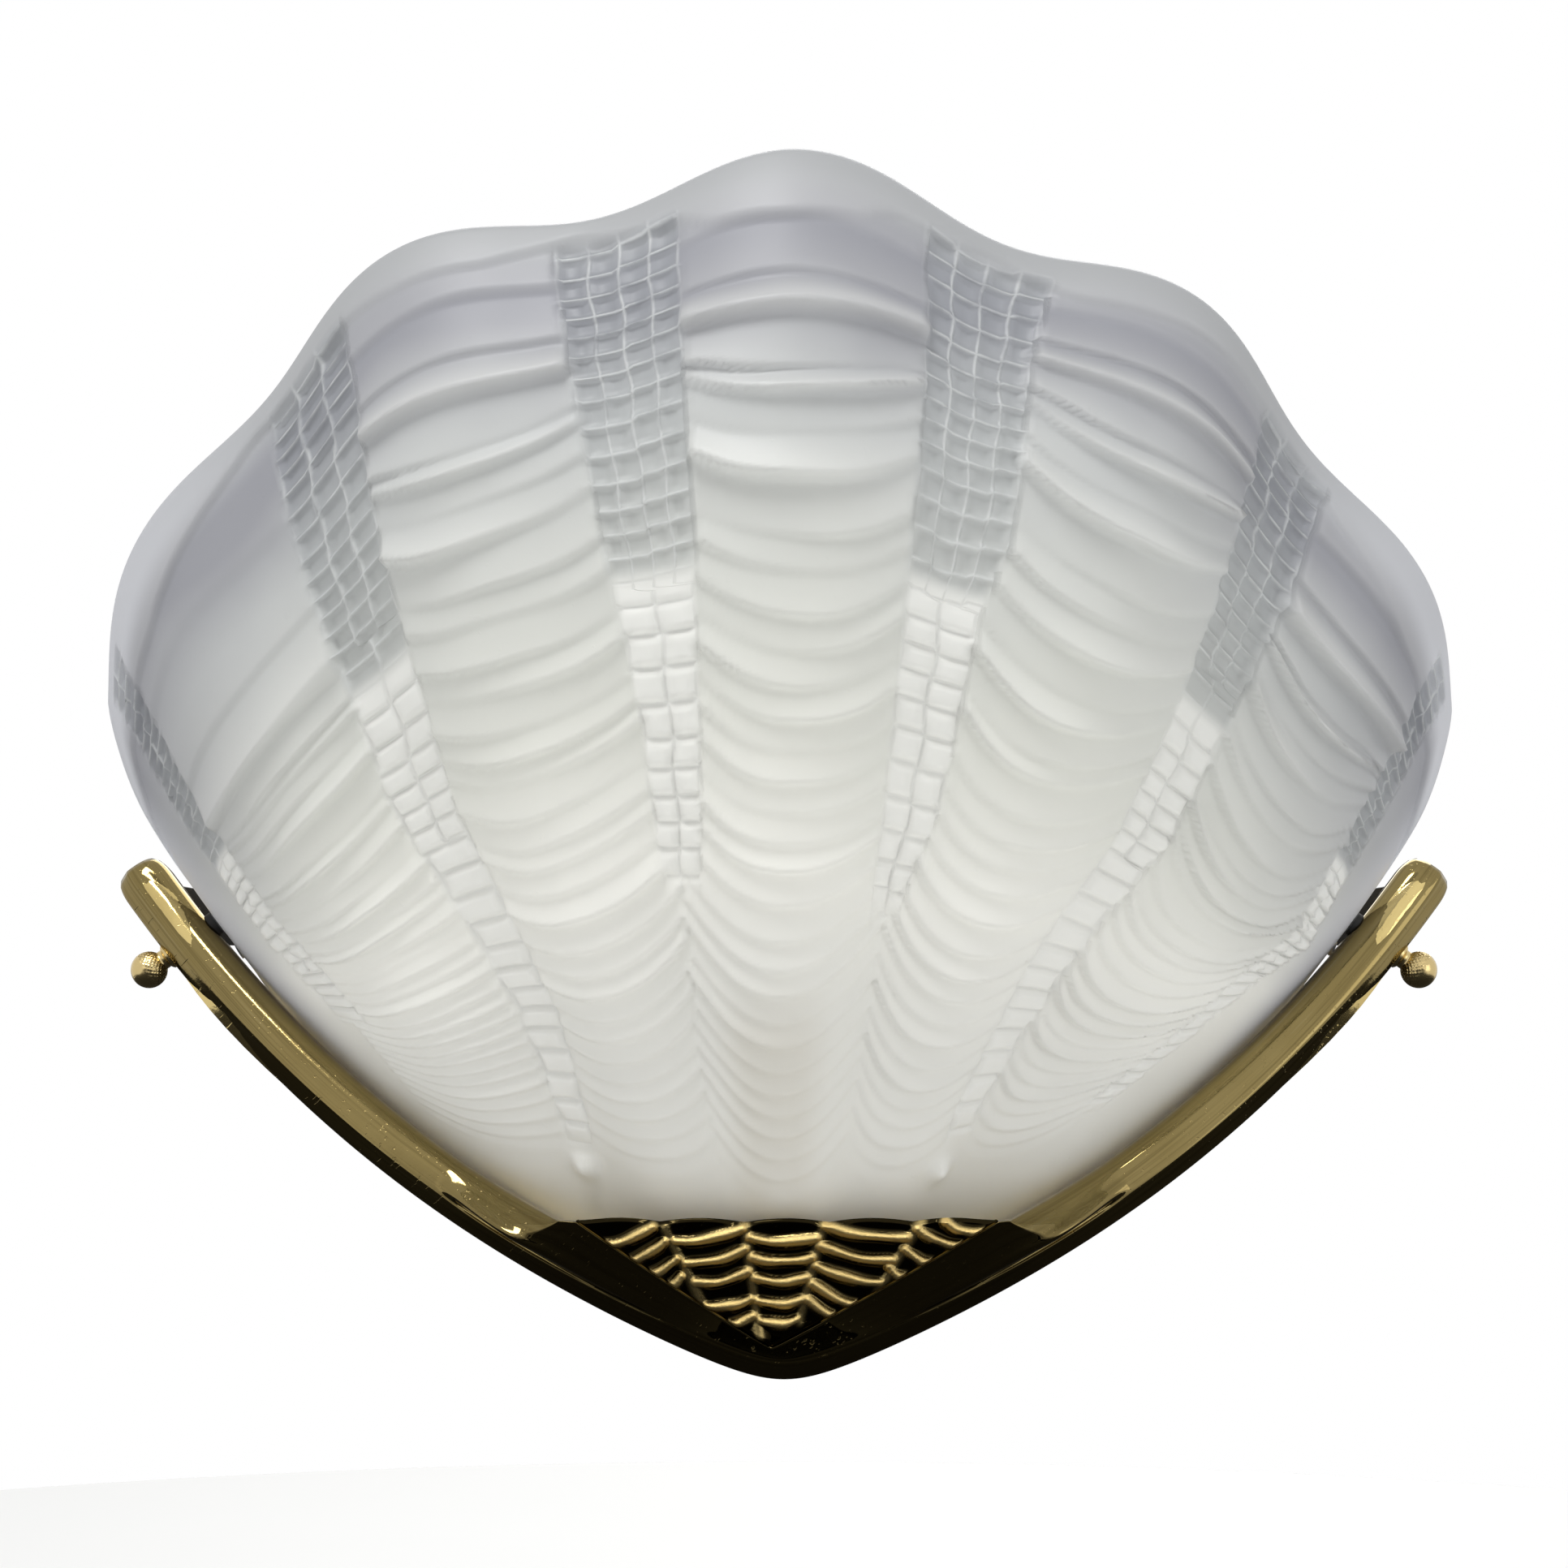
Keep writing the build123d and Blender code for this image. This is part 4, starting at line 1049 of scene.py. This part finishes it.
            # fold height for the glass's colour, which whitens the crests as thicker glass and as painted
            # light
            thick = np.clip((height + self.sunk) / self.fold_depth(rise), 0, 1) * (1 - cell[:, 2])
            out += height - draw
        else:
            out += draw - self.thickness
        move_to(bm, verts, self.turned(point + normal * out[..., None], rise))
        for vert, t, r, h, c in zip(verts, turn, rise, thick, cell):
            vert[shell] = (t, r, h)
            vert[brick] = c
        faces = {f for v in verts for f in v.link_faces}
        if face == 1:
            bmesh.ops.reverse_faces(bm, faces=list(faces))
        return [e for e in {e for f in faces for e in f.edges} if e.is_boundary]

    def build(self) -> bpy.types.Object:
        """Builds the glass and sets it in place of its CAD node.

        Returns:
            The piece.
        """
        bm = bmesh.new()
        bm.verts.layers.float_vector.new("shell")
        bm.verts.layers.float_vector.new("brick")
        rims = self.sheet(bm, 0) + self.sheet(bm, 1)
        bmesh.ops.bridge_loops(bm, edges=rims)
        bmesh.ops.recalc_face_normals(bm, faces=bm.faces)
        glass = close(bm, "pressed_shell", "shade", "pressed_glass", self.paint)
        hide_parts("glass_shell")
        return glass


# ------------------------------------------------------------------ net relief
@dataclass
class NetRelief:
    """Rough cast net of ridges on the front of the cradle's point, in millimetres."""

    paint: Paintbox
    bar: VBar = field(default_factory=VBar)
    half_width: float = 46.0
    lean: float = 0.35
    top: float = -60.0
    apex: tuple = (-2.7, -87.0)
    left_end: float = -43.0
    right_end: float = 44.3
    columns: int = 240
    rows: int = 70
    ridge_width: float = 1.1
    ridge_height: float = 1.7
    scallop_start: float = -43.0
    scallop_width: float = 17.4
    scallop_height: float = 0.8
    seed: int = 11

    def panel(self, x: np.ndarray, z: np.ndarray) -> np.ndarray:
        """The cradle's front surface under the net.

        Args:
            x: places from side to side.
            z: places up.

        Returns:
            The Y of each point.
        """
        low = self.bar.height(np.zeros(1))[0] - self.bar.half_height
        share = np.clip((x / self.half_width + 1) / 2, 0, 1)
        end = -self.bar.depth(np.array([self.half_width]))[0]
        middle = -2 * self.bar.prow_depth - end
        bow = end * ((1 - share) ** 2 + share**2) + 2 * share * (1 - share) * middle
        leaning = bow - self.lean * (z - low)
        front = -(self.bar.depth(x) + self.bar.ridge)
        return np.minimum(leaning, front)

    def lower_edge(self, way: np.ndarray) -> tuple[np.ndarray, np.ndarray]:
        """X and Z of the net's lower edge.

        Args:
            way: -1 at its left corner, 0 at the apex and 1 at its right corner.

        Returns:
            The X and Z of each point.
        """
        left, right = self.left_end - self.apex[0], self.right_end - self.apex[0]
        x = self.apex[0] + np.where(way < 0, -way * left, way * right)
        return x, self.apex[1] + np.abs(way) ** 1.06 * (self.top - 0.4 - self.apex[1])

    def ridges(self) -> list[tuple[float, float, float, float]]:
        """The net's ridges.

        Returns:
            Each ridge as (x, z, x, z) from end to end.
        """
        ribs = ((-24.5, -61.6, -15.6, -80.5), (-8.1, -60.2, -5.2, -84.7),
                (8.2, -60.2, 3.2, -81.6), (28.4, -59.8, 19.2, -75.6))
        columns = (
            (ribs[0], ribs[1],
             ((-64.5, -61.7), (-69.1, -66.2), (-73.4, -70.9), (-78.3, -76.8), (-82.2, -80.5))),
            (ribs[1], ribs[2],
             ((-63.7, -63.7), (-67.9, -67.9), (-72.3, -72.3), (-77.1, -77.1), (-81.3, -81.3))),
            (ribs[2], ribs[3],
             ((-61.2, -63.7), (-65.4, -68.7), (-69.6, -73.4), (-73.4, -78.8), (-77.1, -82.0))),
        )
        found = list(ribs)
        for left, right, levels in columns:
            for z_left, z_right in levels:
                found.append((self.on(left, z_left) + 0.6, z_left, self.on(right, z_right) - 0.6, z_right))
        found += [(33.4, -60.6, 40.5, -62.9), (27.6, -62.0, 36.8, -65.7), (25.0, -66.2, 31.5, -69.6),
                  (21.7, -70.1, 27.4, -73.3), (-27.0, -61.5, -38.0, -65.6), (-24.5, -64.5, -33.8, -69.4),
                  (-22.0, -68.2, -30.2, -72.6), (-21.2, -72.1, -26.9, -75.8)]
        return found

    @staticmethod
    def on(rib: tuple, z: float) -> float:
        """X of a rib at a height."""
        share = (z - rib[1]) / (rib[3] - rib[1])
        return rib[0] + (rib[2] - rib[0]) * share

    def raised(self, x: np.ndarray, z: np.ndarray) -> np.ndarray:
        """Relief of the ridges.

        Args:
            x: places from side to side.
            z: places up.

        Returns:
            The share of a full ridge's height at each point.
        """
        rng = np.random.default_rng(self.seed)
        height = np.zeros_like(x)
        for x0, z0, x1, z1 in self.ridges():
            length = math.hypot(x1 - x0, z1 - z0)
            along = ((x - x0) * (x1 - x0) + (z - z0) * (z1 - z0)) / length**2
            clipped = np.clip(along, 0, 1)
            upright = abs(z1 - z0) > abs(x1 - x0)
            bow = 0.0 if upright else 0.9 * (4 * clipped * (1 - clipped)) - 0.45
            wave = 0.10 * np.sin(9 * clipped + rng.uniform(0, 6)) + bow
            px = x0 + (x1 - x0) * clipped
            pz = z0 + (z1 - z0) * clipped - wave
            off = np.hypot(x - px, z - pz)
            uneven = 1 + 0.12 * np.sin(6 * clipped + rng.uniform(0, 6))
            width = self.ridge_width * (1.45 if upright else 1.0) * uneven
            ridge = np.exp(-((off / width) ** 2)) * (0.5 if upright else 1.0)
            height = np.maximum(height, ridge)
        return height

    def build(self) -> bpy.types.Object:
        """Builds the net over the cradle's front.

        Returns:
            The piece.
        """
        bm = bmesh.new()
        raised = bm.verts.layers.float.new("raised")
        bmesh.ops.create_grid(bm, x_segments=self.columns, y_segments=self.rows, size=1.0)
        verts = list(bm.verts)
        flat = np.array([v.co[:2] for v in verts])
        share = (flat[:, 1] + 1) / 2
        x, low = self.lower_edge(flat[:, 0])
        scallop = np.abs(np.sin(np.pi * (x - self.scallop_start) / self.scallop_width)) * self.scallop_height
        high = self.top + scallop * (1 - np.abs(flat[:, 0]) ** 8)
        z = low + (high - low) * share
        level = self.raised(x, z)
        inner = np.minimum(np.minimum(share, 1 - share) * (high - low) / 0.8, 1)
        inner = np.clip(np.minimum(inner, (1 - np.abs(flat[:, 0])) * 40), 0, 1)
        rng = np.random.default_rng(self.seed)
        grit = rng.normal(0, 0.02, x.shape) * level
        out = inner * (0.35 + self.ridge_height * level + grit) - 0.3 * (1 - inner)
        points = np.stack([x, self.panel(x, z) - out, z], -1)
        move_to(bm, verts, points)
        for vert, value in zip(verts, level):
            vert[raised] = float(np.clip((value - 0.25) / 0.4, 0, 1))
        faces = bm.faces[:]
        bmesh.ops.recalc_face_normals(bm, faces=faces)
        bmesh.ops.solidify(bm, geom=faces, thickness=0.6 * MM)
        net = close(bm, "net_relief", "root", "polished_brass", self.paint)
        net.data.materials[0] = CastBrass("net_brass", relief=True).build()
        return net


# ------------------------------------------------------------------ polished bar
@dataclass
class PolishedBar:
    """Rounded, polished skin of the V, which widens into one leaning face beside the net.

    SECTION holds the control points of the plain bar's section as (forward, up) from its centreline. FACE
    gives the share of the way up the leaning face for the rows that lie on it beside the net.
    """

    paint: Paintbox
    net: NetRelief
    bar: VBar = field(default_factory=VBar)
    reach: float = 141.25
    end_start: float = 138.2
    end_shrink: float = 0.28
    net_reach: float = 50.0
    corner_reach: float = 54.0
    plain_reach: float = 72.0
    corner: tuple = (46.6, -60.2)
    proud: float = 0.4
    net_lip: float = 2.2
    corner_lip: float = 2.8
    stations: int = 420
    around: int = 75

    SECTION = (
        (-2.4, -5.0), (-2.4, -5.62), (0.9, -5.68), (2.0, -5.2), (3.4, -3.6), (4.5, -2.2),
        (4.68, -1.4), (4.6, -0.2), (4.25, 1.7), (3.45, 3.6), (2.0, 5.1), (0.3, 5.72),
        (-2.2, 5.72), (-3.05, 5.45), (-3.05, 4.6), (-2.4, 4.4),
    )
    FACE = {7: 0.10, 8: 0.38, 9: 0.70, 10: 0.93}

    def top(self, x: np.ndarray, side: np.ndarray) -> np.ndarray:
        """Where the leaning face ends above: along the net's lower edge, then at the panel's corner.

        Args:
            x: distances from the middle, all positive.
            side: -1 on the left and 1 on the right.

        Returns:
            The points, with the left side mirrored to the right.
        """
        edge_x, edge_z = self.net.lower_edge(side * np.minimum(x / self.net_reach, 1))
        share = smooth(x, self.net_reach, self.corner_reach)
        top_x = side * edge_x * (1 - share) + self.corner[0] * share
        top_z = edge_z * (1 - share) + self.corner[1] * share
        return np.stack([top_x, self.net.panel(side * top_x, top_z) - self.proud, top_z], -1)

    def controls(self, x: np.ndarray, side: np.ndarray) -> np.ndarray:
        """Control points of the section at each distance from the middle.

        Args:
            x: distances from the middle, all positive.
            side: -1 on the left and 1 on the right.

        Returns:
            Rows of 16 points.
        """
        over = np.clip((x - self.end_start) / (self.reach - self.end_start), 0, 1)
        shrink = 1 - self.end_shrink * (1 - np.sqrt(1 - 0.98 * over**2))
        forward, upward = self.bar.square(x)
        middle = self.bar.centre(x)
        rows = [middle + (forward * f + upward * u) * shrink[:, None] for f, u in self.SECTION]
        share = 1 - smooth(x, self.corner_reach, self.plain_reach)[:, None]
        top = self.top(x, side)
        thick = np.where(x > self.net_reach, self.corner_lip, self.net_lip)[:, None]
        leaning = {index: rows[6] + (top - rows[6]) * part for index, part in self.FACE.items()}
        for point in leaning.values():
            surface = self.net.panel(side * point[:, 0], point[:, 2]) - self.proud
            point[:, 1] = np.minimum(point[:, 1], surface)
        leaning[11] = top
        leaning[12] = top + thick * np.array([0.0, 1.0, 0.0])
        leaning[13] = leaning[12] + np.array([0.0, 0.1, -1.0])
        leaning[14] = leaning[12] + np.array([0.0, 0.2, -3.0])
        for index, point in leaning.items():
            rows[index] = rows[index] * (1 - share) + point * share
        return np.stack(rows, 1)

    @staticmethod
    def curve(controls: np.ndarray, place: np.ndarray) -> np.ndarray:
        """Points of a smooth closed curve through the control points.

        Args:
            controls: rows of control points.
            place: place on each row's curve, from 0 to 1.

        Returns:
            The points.
        """
        count = controls.shape[1]
        first = np.floor(place * count).astype(int)
        t = (place * count - first)[:, None]
        row = np.arange(len(place))
        a, b, c, d = (controls[row, (first + step) % count] for step in (-1, 0, 1, 2))
        bend, twist = 2 * a - 5 * b + 4 * c - d, 3 * b - a - 3 * c + d
        return 0.5 * (2 * b + (c - a) * t + bend * t**2 + twist * t**3)

    def build(self) -> bpy.types.Object:
        """Builds the skin over the cradle's bar.

        Returns:
            The piece.
        """
        bm = bmesh.new()
        layer = bm.verts.layers.float_vector.new("bar")
        bmesh.ops.create_grid(bm, x_segments=self.stations, y_segments=self.around, size=1.0)
        verts = list(bm.verts)
        flat = np.array([v.co[:2] for v in verts])
        side = np.where(flat[:, 0] < 0, -1.0, 1.0)
        distance = np.abs(flat[:, 0]) * self.reach
        points = self.curve(self.controls(distance, side), (flat[:, 1] + 1) / 2)
        points[:, 0] *= side
        move_to(bm, verts, points)
        for vert, (along, around) in zip(verts, flat):
            vert[layer] = (along, around, 0.0)
        bmesh.ops.remove_doubles(bm, verts=bm.verts, dist=1e-6)
        bmesh.ops.holes_fill(bm, edges=[e for e in bm.edges if e.is_boundary])
        bmesh.ops.recalc_face_normals(bm, faces=bm.faces)
        skin = close(bm, "polished_bar", "root", "polished_brass", self.paint)
        # the bar's brass carries painted reflections and painted shade
        skin.data.materials[0] = CastBrass("bar_brass", streaked=True).build()
        return skin


# ------------------------------------------------------------------ thumb screws
@dataclass
class ThumbScrew:
    """Ball-headed thumb screw: knurled half ball, collar and threaded shank, in millimetres."""

    paint: Paintbox
    hand: str
    angle: float = 35.0
    ball_x: float = 138.0
    ball_z: float = -10.2
    depth: float = 17.0
    ball_radius: float = 4.0
    ball_share: float = 0.80
    ball_steps: int = 40
    collar_radius: float = 2.9
    collar_length: float = 1.6
    collar_start: float = 5.0
    neck_radius: float = 2.1
    shank_radius: float = 2.0
    pitch: float = 0.7
    thread_steps: int = 7
    thread_depth: float = 0.34
    knurls: int = 22
    steps: int = 132
    knurl_depth: float = 0.26
    knurl_low: float = -0.4
    knurl_high: float = 3.4
    knurl_slant: float = 0.28

    @property
    def side(self) -> int:
        """-1 on the left and 1 on the right."""
        return -1 if self.hand == "left" else 1

    def axis(self) -> Vector:
        """Direction from the ball towards the glass."""
        angle = math.radians(self.angle)
        return Vector((-self.side * math.cos(angle), 0, math.sin(angle)))

    def centre(self) -> Vector:
        """Centre of the ball, in metres."""
        return Vector((self.side * self.ball_x, -self.depth, self.ball_z)) * MM

    def length(self) -> float:
        """Length of the screw, read from its CAD node.

        Returns:
            Millimetres from the ball's centre to the tip.
        """
        node = bpy.data.objects[f"thumb_screw_{self.hand}"]
        reach = max((v.co - self.centre()).dot(self.axis()) for v in node.data.vertices)
        return reach / MM

    def profile(self, tip: float) -> list[tuple[float, float]]:
        """Outline of the screw, from the back of the ball to the tip.

        Args:
            tip: height of the tip over the ball's centre.

        Returns:
            (radius, height) pairs.
        """
        ball, neck, collar = self.ball_radius, self.neck_radius, self.collar_radius
        low, high = self.collar_start, self.collar_start + self.collar_length
        shares = [self.ball_share * step / self.ball_steps for step in range(1, self.ball_steps + 1)]
        turns = [math.pi * (1 - share) for share in shares]
        count = int((tip - high) / (self.pitch / self.thread_steps))
        return [
            (0.0, -ball),
            *((ball * math.sin(turn), ball * math.cos(turn)) for turn in turns),
            (neck, ball * 0.85),
            (neck, low - 0.6),
            (collar - 0.3, low - 0.3),
            (collar, low),
            (collar, high - 0.3),
            (collar - 0.3, high),
            *((self.shank_radius, high + (tip - high) * step / count) for step in range(count + 1)),
            (0.0, tip),
        ]

    def build(self) -> bpy.types.Object:
        """Spins the profile, then cuts the knurl and the thread into it.

        Returns:
            The piece.
        """
        tip = self.length()
        bm = bmesh.new()
        profile = self.profile(tip)
        verts = [bmesh.ops.create_vert(bm, co=(r * MM, 0, h * MM))["vert"][0] for r, h in profile]
        for first, second in zip(verts, verts[1:]):
            bm.edges.new((first, second))
        geom = bm.verts[:] + bm.edges[:]
        bmesh.ops.spin(
            bm, geom=geom, cent=(0, 0, 0), axis=(0, 0, 1), angle=2 * math.pi, steps=self.steps, use_merge=True
        )
        bmesh.ops.remove_doubles(bm, verts=bm.verts, dist=1e-6)
        start = (self.collar_start + self.collar_length + 0.5) * MM
        for vert in bm.verts:
            radius = math.hypot(vert.co.x, vert.co.y) / MM
            if radius < 1e-3:
                continue
            turn = math.atan2(vert.co.y, vert.co.x)
            height = vert.co.z / MM
            threaded = vert.co.z > start
            cut = self.cut(turn, height, radius, tip) if threaded else self.knurl(turn, height, radius)
            scale = (radius - cut) / radius
            vert.co.x *= scale
            vert.co.y *= scale
        turn = self.axis().to_track_quat("Z", "Y").to_matrix().to_4x4()
        bm.transform(Matrix.Translation(self.centre()) @ turn)
        bmesh.ops.recalc_face_normals(bm, faces=bm.faces)
        name = f"ball_screw_{self.hand}"
        piece = close(bm, name, f"screw_{self.hand}", "turned_brass", self.paint)
        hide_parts(f"thumb_screw_{self.hand}")
        return piece

    def knurl(self, turn: float, height: float, radius: float) -> float:
        """Diamond knurl on the ball.

        Args:
            turn: angle of the point round the screw.
            height: its height over the ball's centre.
            radius: its distance from the axis.

        Returns:
            How deep the knurl cuts there.
        """
        if not self.knurl_low < height < self.knurl_high or radius < self.neck_radius + 0.2:
            return 0.0
        fade = min(1.0, (height - self.knurl_low) / 0.5) * min(1.0, (self.knurl_high - height) / 0.6)
        lines = [abs(math.sin(self.knurls / 2 * (turn + way * height * self.knurl_slant))) for way in (-1, 1)]
        return self.knurl_depth * fade * (1 - min(1.0, min(lines) / 0.6))

    def cut(self, turn: float, height: float, radius: float, tip: float) -> float:
        """Thread on the shank.

        Args:
            turn: angle of the point round the screw.
            height: its height over the ball's centre.
            radius: its distance from the axis.
            tip: height of the screw's tip.

        Returns:
            How deep the thread cuts there.
        """
        if radius < self.shank_radius - 0.05:
            return 0.0
        phase = (height / self.pitch - turn / (2 * math.pi)) % 1.0
        return self.thread_depth * (1 - abs(2 * phase - 1)) * min(1.0, (tip - height) / 0.4)


# ------------------------------------------------------------------ frame nodes and studio
@dataclass
class Fittings:
    """The nodes that keep their CAD shape: cradle, wall plate, lampholder, lamp and terminals."""

    paint: Paintbox

    def dress(self, frame: dict) -> None:
        """Gives every node its finish.
        """
        slots = {part["node"]: part["material_slot"] for part in frame["record"]["subparts"]}
        for name, node in frame["nodes"].items():
            node.data.materials.clear()
            node.data.materials.append(self.paint.get(slots[name]))
            log.info("%s keeps its shape, in %s", name, slots[name])


@dataclass
class Studio:
    """Camera, lamps, surroundings and floor."""

    distance: float = 0.9
    height: float = 0.0302
    focal: float = 93.24
    floor_z: float = -0.24
    floor_radius: float = 0.72
    aim: tuple = (0.0, -0.04, 0.03)
    room_stops: tuple = ((0.0, 0.65), (0.40, 1.0), (0.52, 1.0), (0.70, 0.50), (1.0, 0.42))
    sky_stops: tuple = (
        (0.0, 0.0), (0.40, 0.002), (0.46, 0.02), (0.51, 0.45),
        (0.56, 0.10), (0.64, 0.45), (0.80, 0.95), (1.0, 0.80),
    )

    def camera(self) -> None:
        """Places the camera straight in front of the sconce."""
        data = bpy.data.cameras.new("camera")
        data.sensor_width = 36.0
        data.lens = self.focal
        data.clip_start = 0.01
        camera = bpy.data.objects.new("camera", data)
        camera.location = (0.0, -self.distance, self.height)
        camera.rotation_euler = (math.pi / 2, 0.0, 0.0)
        bpy.context.scene.collection.objects.link(camera)
        bpy.context.scene.camera = camera

    def lamp(self, name: str, at: tuple, size: float, power: float) -> None:
        """Adds a square soft white lamp that points at the sconce.

        Args:
            name: the lamp's name.
            at: its place.
            size: its side.
            power: its power in watts.
        """
        data = bpy.data.lights.new(name, "AREA")
        data.size = size
        data.energy = power
        lamp = bpy.data.objects.new(name, data)
        lamp.location = at
        lamp.rotation_mode = "QUATERNION"
        lamp.rotation_quaternion = (Vector(at) - Vector(self.aim)).to_track_quat("Z", "Y")
        bpy.context.scene.collection.objects.link(lamp)

    def surroundings(self) -> None:
        """Makes the world white to the camera, a soft room to matt surfaces, and dark below to glossy rays."""
        world = bpy.data.worlds.new("room")
        bpy.context.scene.world = world
        s = Shader(world)
        way = s.node("ShaderNodeTexCoord", output="Generated")
        aside, _, upward = s.split(way)
        height = s.node("ShaderNodeMapRange", {}, {0: upward, 1: -1.0, 2: 1.0, 3: 0.0, 4: 1.0})
        uneven = s.noise(2.6, 2.0, at=way) * 0.30 + height + (aside * aside * 0.75 - 0.15)
        room, mirror = (
            s.node("ShaderNodeBackground", {}, {0: s.ramp(level, stops)})
            for level, stops in ((height, self.room_stops), (uneven, self.sky_stops))
        )
        white = s.node("ShaderNodeBackground", {}, {0: (1.0, 1.0, 1.0, 1.0)})
        glossy = s.node("ShaderNodeLightPath", output="Is Glossy Ray")
        seen = s.node("ShaderNodeLightPath", output="Is Camera Ray")
        lit = s.node("ShaderNodeMixShader", {}, {0: glossy, 1: room, 2: mirror})
        s.finish(s.node("ShaderNodeMixShader", {}, {0: seen, 1: lit, 2: white}), "ShaderNodeOutputWorld")

    def floor(self) -> None:
        """Lays a round floor below the sconce, pale to the camera and nearly black to glossy rays."""
        bm = bmesh.new()
        bmesh.ops.create_circle(bm, cap_ends=True, segments=96, radius=self.floor_radius)
        mesh = bpy.data.meshes.new("floor")
        bm.to_mesh(mesh)
        bm.free()
        floor = bpy.data.objects.new("floor", mesh)
        floor.location = (0, 0, self.floor_z)
        bpy.context.scene.collection.objects.link(floor)
        s = Shader("pale_floor")
        tone = s.blend(s.noise(8.0) * 0.3, (0.86, 0.86, 0.85), (0.80, 0.80, 0.79))
        pale, dark = (
            s.node("ShaderNodeBsdfPrincipled", {}, {"Base Color": colour, "Roughness": rough})
            for colour, rough in ((tone, 0.8), ((0.001, 0.001, 0.001, 1.0), 0.9))
        )
        glossy = s.node("ShaderNodeLightPath", output="Is Glossy Ray")
        s.finish(s.node("ShaderNodeMixShader", {}, {0: glossy, 1: pale, 2: dark}))
        mesh.materials.append(s.owner)

    def build(self) -> None:
        """Sets up the whole studio."""
        self.camera()
        self.surroundings()
        self.floor()
        self.lamp("key", (-0.35, -0.75, 1.35), 0.55, 13.0)
        self.lamp("fill", (1.2, -0.9, 0.3), 0.8, 2.0)
        self.lamp("back", (0.2, 0.9, 0.7), 0.9, 7.0)
        bpy.context.scene.view_settings.view_transform = "Standard"


def main() -> None:
    """Builds the sconce's looks over the frame."""
    logging.basicConfig(level=logging.INFO, format="%(message)s")
    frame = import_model()
    Studio().build()
    paint = Paintbox()
    Fittings(paint).dress(frame)
    ShellShade(paint).build()
    net = NetRelief(paint)
    net.build()
    PolishedBar(paint, net).build()
    for hand in ("left", "right"):
        ThumbScrew(paint, hand).build()


if __name__ == "__main__":
    main()
